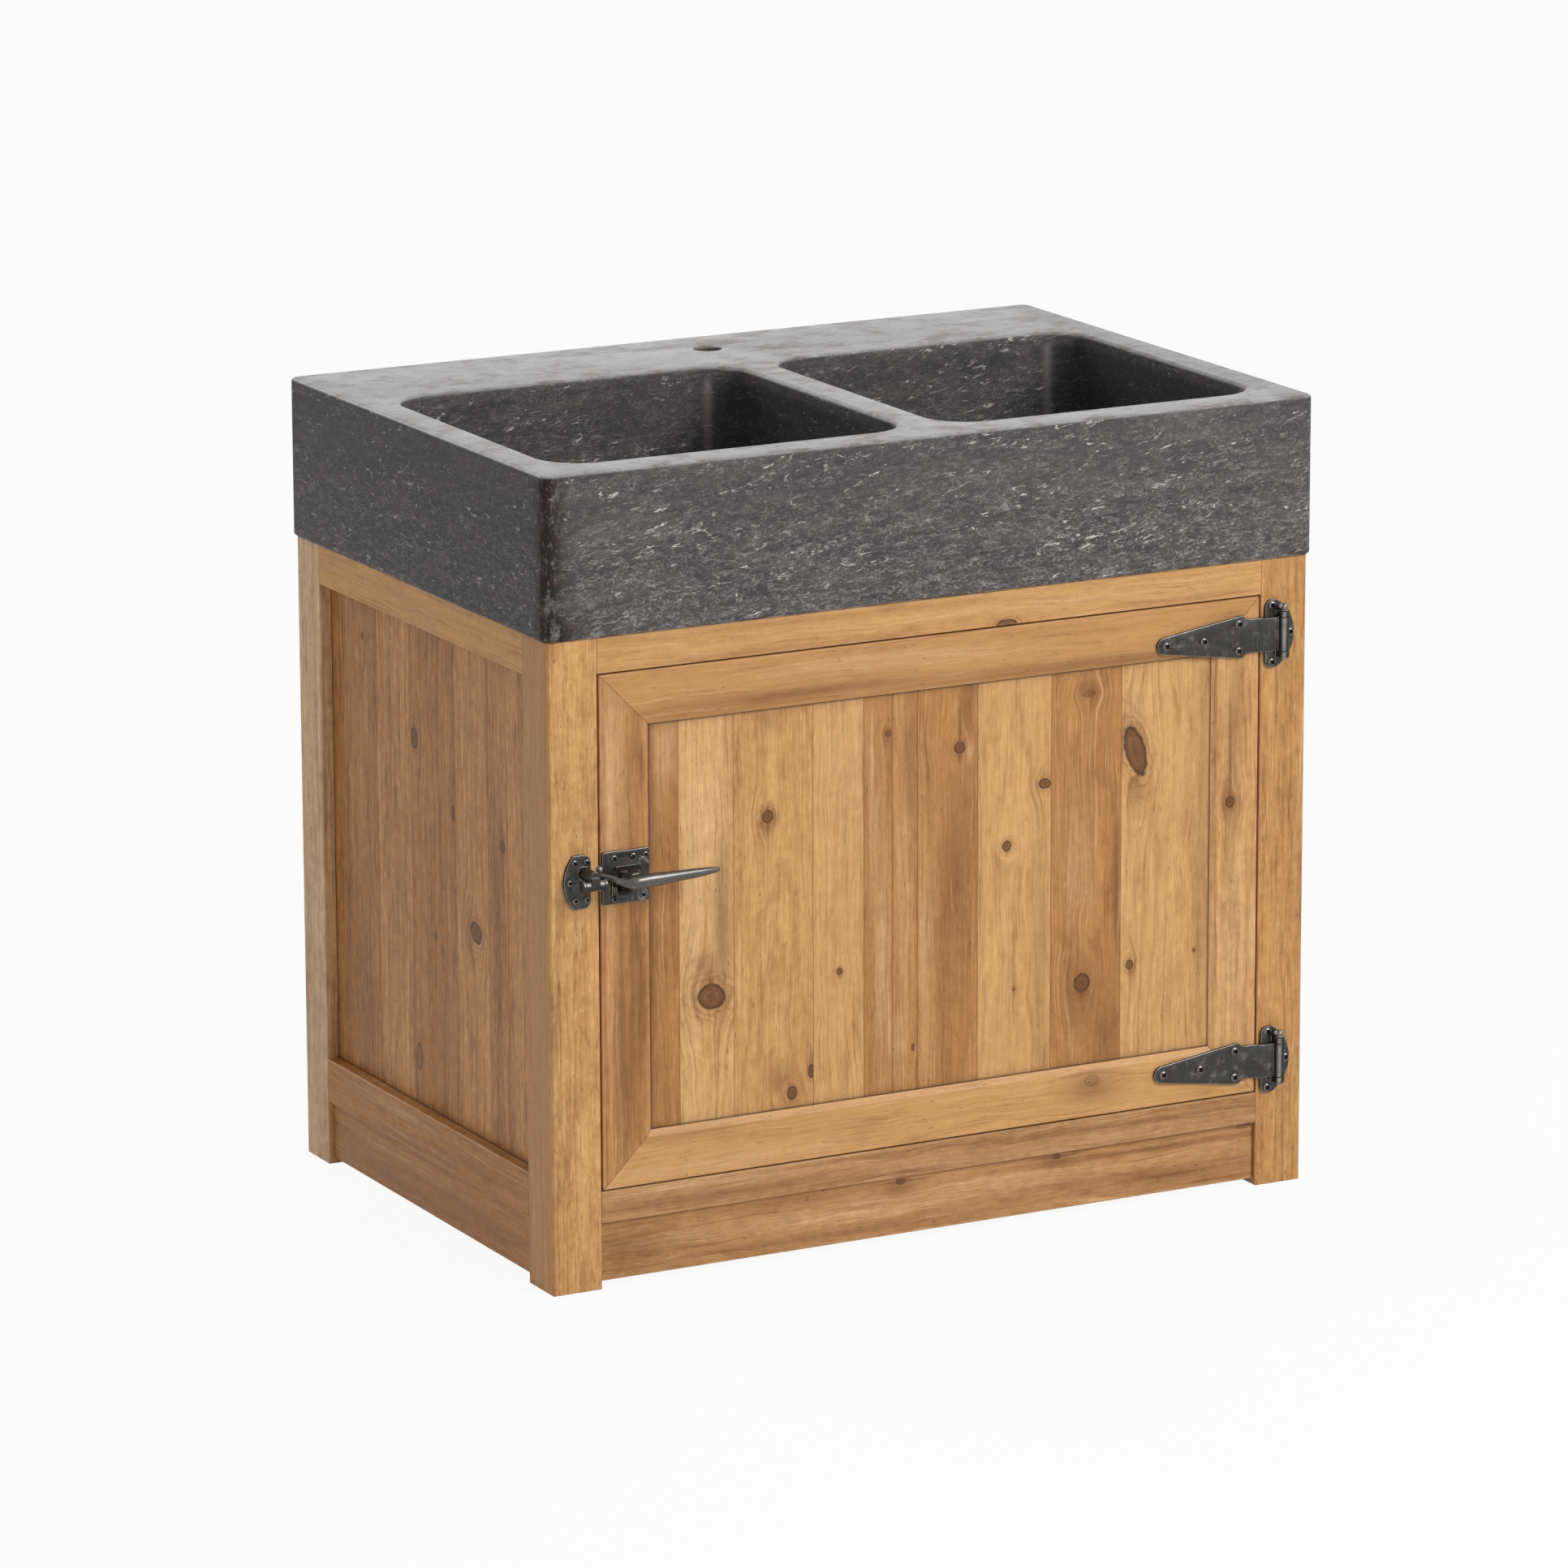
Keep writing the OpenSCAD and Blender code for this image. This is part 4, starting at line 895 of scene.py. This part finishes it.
def forged_lever():
    """The lever as one smooth bar along the solid's middle line, with the eye that turns on the pin."""
    stops = []
    last = len(LEVER_LINE) - 1
    for index in range(last):
        near = [Vector(LEVER_LINE[min(max(index + k, 0), last)]) for k in (-1, 0, 1, 2)]
        for part in range(LEVER_STEPS):
            t = part / LEVER_STEPS
            stops.append(0.5 * (
                2 * near[1] + (near[2] - near[0]) * t
                + (2 * near[0] - 5 * near[1] + 4 * near[2] - near[3]) * t ** 2
                + (3 * near[1] - near[0] - 3 * near[2] + near[3]) * t ** 3
            ))
    stops.append(Vector(LEVER_LINE[last]))

    # Round ends: the first and last stop shrink along their own ends
    places = [(Vector((v[0], -min(v[1], LEVER_OUT), v[2])), v[3]) for v in stops]
    for end in (0, -1):
        centre, radius = places[end]
        away = (centre - places[1 if end == 0 else -2][0]).normalized()
        turns = (0.4, 0.8, 1.15, 1.45)
        caps = [(centre + away * radius * math.sin(turn), radius * math.cos(turn)) for turn in turns]
        places = caps[::-1] + places if end == 0 else places + caps

    shape = bmesh.new()
    wear_and_painted_light = shape.faces.layers.float.new("wear_and_painted_light")
    rings = []
    for index, (centre, radius) in enumerate(places):
        ahead = places[min(index + 1, len(places) - 1)][0] - places[max(index - 1, 0)][0]
        ahead.normalize()
        out = Vector((0, 0, 1)).cross(ahead).normalized()
        above = ahead.cross(out)
        ring = []
        for k in range(LEVER_SIDES):
            turn = math.tau * k / LEVER_SIDES
            reach = out * math.cos(turn) * 0.8 + above * math.sin(turn)
            ring.append(shape.verts.new((PIVOT + centre + reach * radius) * MM))
        rings.append(ring)
    for first, second in zip(rings, rings[1:]):
        bridged(shape, first, second)
    shape.faces.new(rings[0][::-1])
    shape.faces.new(rings[-1])

    # The eye: a short tube round the pivot pin
    tubes = []
    for radius, height in EYE_RIMS:
        tubes.append([
            shape.verts.new((PIVOT + Vector((
                radius * math.cos(math.tau * k / EYE_SIDES),
                radius * math.sin(math.tau * k / EYE_SIDES), height,
            ))) * MM) for k in range(EYE_SIDES)
        ])
    for first, second in zip(tubes, tubes[1:] + tubes[:1]):
        bridged(shape, first, second)
    bmesh.ops.recalc_face_normals(shape, faces=shape.faces)
    for side in shape.faces:
        side.smooth = True
        side[wear_and_painted_light] = 0.22
    for edge in shape.edges:
        edge.smooth = edge.calc_face_angle(0) < math.radians(50)
    piece = built("lever_bar", shape)
    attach(piece, "lever")
    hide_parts("latch_lever")
    return piece


def board(name, low, high, ease):
    """A board between two corners in millimetres, with all its edges eased."""
    shape = bmesh.new()
    bmesh.ops.create_cube(shape, size=1.0)
    size = high - low
    middle = (low + high) / 2
    for corner in shape.verts:
        corner.co = Vector(corner.co[i] * size[i] + middle[i] for i in range(3)) * MM
    rounded(shape, shape.edges[:], ease, 2, True)
    return built(name, shape)


def planks(node, axis, joints):
    """Builds the upright boards of a panel, which meet at the joints.
    Gives each board's number, piece and corners, and the corners of the opening that shows the panel."""
    low, high = edges(node)
    opening = ((low[axis] + TONGUE, low.z + TONGUE), (high[axis] - TONGUE, high.z - TONGUE))
    cuts = [low[axis], *joints, high[axis]]
    for index in range(len(cuts) - 1):
        start, end = low.copy(), high.copy()
        start[axis], end[axis] = cuts[index], cuts[index + 1]
        piece = board(f"{node}_board_{index + 1}", start, end, bpy.context.scene.cabinet_pine.seam)
        yield index, piece, (start, end), opening


def tones():
    """The tones of pine that the boards are given, by name."""
    look = bpy.context.scene.cabinet_pine
    return {
        "pale": tuple(look.pale), "honey": tuple(look.honey), "brown": tuple(look.brown),
        "tan": mixed(look.pale, look.brown, 0.4), "golden": mixed(look.pale, look.honey, 0.55),
        "dark": mixed(look.brown, look.late, 0.3), "rail": mixed(look.honey, look.brown, 0.4),
        "left": mixed(look.honey, look.brown, 0.8), "post": mixed(look.honey, look.brown, 0.55),
        "low": mixed(mixed(look.pale, look.brown, 0.75), linear(165, 130, 98), 0.35),
        "faded": mixed(look.pale, (1, 0.95, 0.85), 0.15),
        "plinth": mixed(mixed(look.pale, look.brown, 0.72), linear(168, 128, 88), 0.35),
    }


def shade_warmed(tone):
    """A tone for the cabinet's sides, a little redder and less blue: painted warm shade."""
    return tone[0] * 1.07, tone[1], tone[2] * 0.82


# Operators

class CABINET_OT_stone(bpy.types.Operator):
    """Finishes the stone sink"""

    bl_idname = "cabinet.stone"
    bl_label = "Stone sink"

    def execute(self, context):
        stone = context.scene.cabinet_stone
        piece = refined(
            "stone_sink", "stone_block", stone.edge, 3, limit=25, smooth=30, corner=stone.corner
        )
        dress(piece, limestone())
        return {"FINISHED"}


class CABINET_OT_frame(bpy.types.Operator):
    """Finishes the posts, the rails and the plinth boards"""

    bl_idname = "cabinet.frame"
    bl_label = "Posts, rails and plinths"

    def execute(self, context):
        tone = tones()
        for index, (node, (hue, knots, stains)) in enumerate(POSTS.items()):
            side = -1 if "left" in node else 1
            material = pine(
                node, 2, edges(node), tone[hue], 31 + index * 1.7, knots, stains,
                pith=(side * -70, 55), lean=(0.004, 0.012), spacing=6.5, streaks=0.45, calm=1.25,
                shaded_left_face=node == "post_front_left",
            )
            dress(frame["nodes"][node], material)
        for index, (node, (grain, hue, knots, stains)) in enumerate(RAILS.items()):
            lively = "low" in node or "plinth" in node
            # The side rails and plinths get the warm painted shade of the cabinet's sides
            ground = tone[hue] if grain == 0 else shade_warmed(tone[hue])
            material = pine(
                node, grain, edges(node), ground, 61 + index * 2.3, knots, stains,
                pith=(30 - index * 9, 70 + index * 4), lean=(0.01, 0.015), spacing=6.5,
                streaks=0.7 if lively else 0.3, calm=1.1 if lively else 0.6,
            )
            dress(frame["nodes"][node], material)
        return {"FINISHED"}


class CABINET_OT_inside(bpy.types.Operator):
    """Finishes the boards and strips inside the cabinet"""

    bl_idname = "cabinet.inside"
    bl_label = "Inside the cabinet"

    def execute(self, context):
        tone = tones()
        grains = {
            "sink_bearer": 1, "floor_boards": 0, "floor_ledger_left": 1,
            "floor_ledger_right": 1, "door_stop": 2,
        }
        for index, (node, grain) in enumerate(grains.items()):
            material = pine(
                node, grain, edges(node), tone["tan"], 91 + index * 3.1,
                pith=(40, 60), lean=(0.01, 0.02), spacing=4.6, streaks=0.4,
            )
            dress(frame["nodes"][node], material)
        return {"FINISHED"}


class CABINET_OT_side_panels(bpy.types.Operator):
    """Builds the side panels from upright boards"""

    bl_idname = "cabinet.side_panels"
    bl_label = "Side panels"

    def execute(self, context):
        tone = tones()
        for side, node in (("left", "left_panel"), ("right", "right_panel")):
            for index, piece, corners, opening in planks(node, 1, SIDE_JOINTS):
                hue, knots = SIDE_BOARDS[index]
                plain = side == "right"
                # The side boards get the warm painted shade of the cabinet's sides
                material = pine(
                    piece.name, 2, corners, shade_warmed(tone[hue]), 120 + index * 4.3 + plain * 40,
                    () if plain else knots, () if plain else SIDE_STAINS,
                    pith=((-1) ** index * (35 + 17 * index), 40 + 9 * index), lean=(0.01, 0.02),
                    spacing=5.5, streaks=1.1, calm=1.7, opening=opening,
                )
                dress(piece, material)
                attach(piece, "cabinet")
                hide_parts(node)
        return {"FINISHED"}


class CABINET_OT_door_frame(bpy.types.Operator):
    """Finishes the door's mitred stiles and rails"""

    bl_idname = "cabinet.door_frame"
    bl_label = "Door frame"

    def execute(self, context):
        tone = tones()
        low, high = edges("door_stile_left")
        mitre = (-low.x, (low.z + high.z) / 2, (high.z - low.z) / 2)
        for index, (node, (grain, hue, knots, stains)) in enumerate(DOOR_FRAME.items()):
            streaks, calm = (0.9, 1.1) if grain == 2 else (0.15, 0.45)
            material = pine(
                node, grain, edges(node), tone[hue], 171 + index * 5.9, knots, stains,
                pith=(-60 + index * 40, 90), lean=(0.006, 0.012), spacing=6.5, streaks=streaks,
                calm=calm, mitre=mitre,
            )
            dress(frame["nodes"][node], material)
        return {"FINISHED"}


class CABINET_OT_door_panel(bpy.types.Operator):
    """Builds the door's panel from upright boards"""

    bl_idname = "cabinet.door_panel"
    bl_label = "Door panel"

    def execute(self, context):
        tone = tones()
        for index, piece, corners, opening in planks("door_panel", 0, DOOR_JOINTS):
            hue, streaks, knots, stains, pith, lean = DOOR_BOARDS[index]
            material = pine(
                piece.name, 2, corners, tone[hue], 201 + index * 6.7, knots, stains,
                pith=pith, lean=lean, spacing=7.5, streaks=streaks,
                calm=0.78 if hue == "golden" else 1.0, opening=opening,
            )
            dress(piece, material)
            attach(piece, "door")
            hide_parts("door_panel")
        return {"FINISHED"}


class CABINET_OT_hinges(bpy.types.Operator):
    """Finishes the strap hinges"""

    bl_idname = "cabinet.hinges"
    bl_label = "Strap hinges"

    def execute(self, context):
        edge = context.scene.cabinet_iron.edge
        for index, place in enumerate(("upper", "lower")):
            # Painted highlights down each knuckle and on each pin, with painted shade beside the knuckle
            strap = refined(
                "hinge_strap_" + place, "strap_" + place, edge, limit=36, smooth=60, shine=KNUCKLE
            )
            plate = refined("hinge_plate_" + place, "post_plate_" + place, edge, shine=KNUCKLE)
            pin = refined(
                "hinge_pin_" + place, "strap_pin_" + place, edge * 0.7, smooth=50, shine=jutting(0, 0.6)
            )
            for piece in (strap, plate, pin):
                dress(piece, iron(piece.name, index * 9 + 3, wear=0.3))
        return {"FINISHED"}


class CABINET_OT_latch(bpy.types.Operator):
    """Finishes the latch, its lever and the strike"""

    bl_idname = "cabinet.latch"
    bl_label = "Lever latch"

    def execute(self, context):
        edge = context.scene.cabinet_iron.edge
        widths = {"latch_plate": 1, "strike": 1, "latch_pivot_pin": 0.6, "latch_spring": 0}
        # Painted shadow on the latch plate's ears, and a painted highlight and shade on the strike's bar
        marks = {"latch_plate": jutting(-321, -0.7), "strike": BAR}
        for index, (node, width) in enumerate(widths.items()):
            piece = refined(node, node + "_iron", edge * width, shine=marks.get(node))
            dress(piece, iron(node, 40 + index * 7, wear=0.2))
        lever = forged_lever()
        # A painted highlight on the catch pin's ball
        ball = refined("catch_pin", "catch_pin_iron", 0, smooth=50, shine=jutting(0, 0.7))
        for index, piece in enumerate((lever, ball)):
            dress(piece, iron(piece.name, 80 + index * 7, wear=0.15, gloss=0.1, dents=0.004))
        return {"FINISHED"}


class CABINET_OT_screws(bpy.types.Operator):
    """Finishes the screws"""

    bl_idname = "cabinet.screws"
    bl_label = "Screws"

    def execute(self, context):
        edge = context.scene.cabinet_iron.edge
        screws = ("hinge_plate_screws", "strap_screws", "latch_screws", "strike_screws")
        for index, node in enumerate(screws):
            # Each screw head gets a painted highlight ring and painted shade in its recess
            piece = refined(node, node + "_iron", edge * 0.5, shine=ringed)
            dress(piece, iron(node, 110 + index * 7, wear=0.3, gloss=0.06))
        return {"FINISHED"}


class CABINET_OT_stage(bpy.types.Operator):
    """Sets the floor, the lamps, the world and the camera"""

    bl_idname = "cabinet.stage"
    bl_label = "Stage"

    def execute(self, context):
        look = context.scene.cabinet_stage
        context.scene.view_settings.view_transform = "Standard"

        # Floor: pale and shadowed, with a share of plain white to the camera and in reflections
        share_of_white = 0.93
        shape = bmesh.new()
        bmesh.ops.create_grid(shape, x_segments=8, y_segments=8, size=45)
        floor = built("floor", shape)
        paint = Paint("floor")
        direct = paint.direct()
        matte = paint.node("ShaderNodeBsdfDiffuse", None, {"Color": (*look.floor, 1.0)})
        white = paint.light("ShaderNodeEmission", 1.0)
        amount = direct * share_of_white
        shown = paint.node("ShaderNodeMixShader", None, {0: amount, 1: matte, 2: white})
        paint.node("ShaderNodeOutputMaterial", {"target": "ALL"}, {"Surface": shown})
        dress(floor, paint.material)

        # World: white to the camera and in reflections, an even light for the rest
        world = bpy.data.worlds.new("studio")
        context.scene.world = world
        paint = Paint("studio", world)
        direct = paint.direct()
        soft = paint.light("ShaderNodeBackground", look.ambient)
        white = paint.light("ShaderNodeBackground", 1.0)
        shown = paint.node("ShaderNodeMixShader", None, {0: direct, 1: soft, 2: white})
        paint.node("ShaderNodeOutputWorld", {"target": "ALL"}, {"Surface": shown})

        # Lamps: a large soft key from the front right and a weak fill from behind
        lamps = {
            "key": ((2.6, -5.2, 4.2), 3.2, look.key),
            "back": ((-2.0, 6.0, 4.0), 3.0, look.key * 0.25),
        }
        for name, (place, size, power) in lamps.items():
            lamp = bpy.data.lights.new(name, "AREA")
            lamp.shape = "DISK"
            lamp.size = size
            lamp.energy = power
            holder = placed(name, lamp)
            holder.location = place
            aim = Vector((0, 0, 0.45)) - Vector(place)
            holder.rotation_euler = aim.to_track_quat("-Z", "Y").to_euler()
            holder.visible_camera = False

        # Camera: at the photograph's viewing angle
        level = math.cos(CAMERA_PITCH)
        ahead = Vector((
            math.sin(CAMERA_YAW) * level, math.cos(CAMERA_YAW) * level, -math.sin(CAMERA_PITCH)
        ))
        right = Vector((math.cos(CAMERA_YAW), -math.sin(CAMERA_YAW), 0))
        up = right.cross(ahead)
        turned = right * math.cos(CAMERA_ROLL) + up * math.sin(CAMERA_ROLL)
        above = up * math.cos(CAMERA_ROLL) - right * math.sin(CAMERA_ROLL)
        camera = bpy.data.cameras.new("camera")
        camera.lens = look.lens
        camera.sensor_width = 36
        camera.clip_end = 100
        holder = placed("camera", camera)
        turn = Matrix((turned, above, -ahead)).transposed().to_4x4()
        holder.matrix_world = Matrix.Translation(CAMERA_PLACE) @ turn
        context.scene.camera = holder
        return {"FINISHED"}


class CABINET_PT_panel(bpy.types.Panel):
    """Lists the cabinet's settings and the steps that finish it"""

    bl_idname = "CABINET_PT_panel"
    bl_label = "Sink Cabinet"
    bl_space_type = "VIEW_3D"
    bl_region_type = "UI"
    bl_category = "Sink Cabinet"

    def draw(self, context):
        for name, group in SETTINGS.items():
            box = self.layout.box()
            for key in group.__annotations__:
                box.prop(getattr(context.scene, name), key)
        for step in STEPS:
            self.layout.operator(step.bl_idname)


SETTINGS = {
    "cabinet_stone": StoneSettings,
    "cabinet_pine": PineSettings,
    "cabinet_iron": IronSettings,
    "cabinet_stage": StageSettings,
}
STEPS = (
    CABINET_OT_stone, CABINET_OT_frame, CABINET_OT_inside, CABINET_OT_side_panels,
    CABINET_OT_door_frame, CABINET_OT_door_panel, CABINET_OT_hinges, CABINET_OT_latch,
    CABINET_OT_screws, CABINET_OT_stage,
)


def register():
    for group in (*SETTINGS.values(), *STEPS, CABINET_PT_panel):
        bpy.utils.register_class(group)
    for name, group in SETTINGS.items():
        setattr(bpy.types.Scene, name, bpy.props.PointerProperty(type=group))


def unregister():
    for name in SETTINGS:
        delattr(bpy.types.Scene, name)
    for group in (CABINET_PT_panel, *reversed(STEPS), *SETTINGS.values()):
        bpy.utils.unregister_class(group)


def main():
    register()
    bpy.ops.cabinet.stone()
    bpy.ops.cabinet.frame()
    bpy.ops.cabinet.inside()
    bpy.ops.cabinet.side_panels()
    bpy.ops.cabinet.door_frame()
    bpy.ops.cabinet.door_panel()
    bpy.ops.cabinet.hinges()
    bpy.ops.cabinet.latch()
    bpy.ops.cabinet.screws()
    bpy.ops.cabinet.stage()


if __name__ == "__main__":
    main()
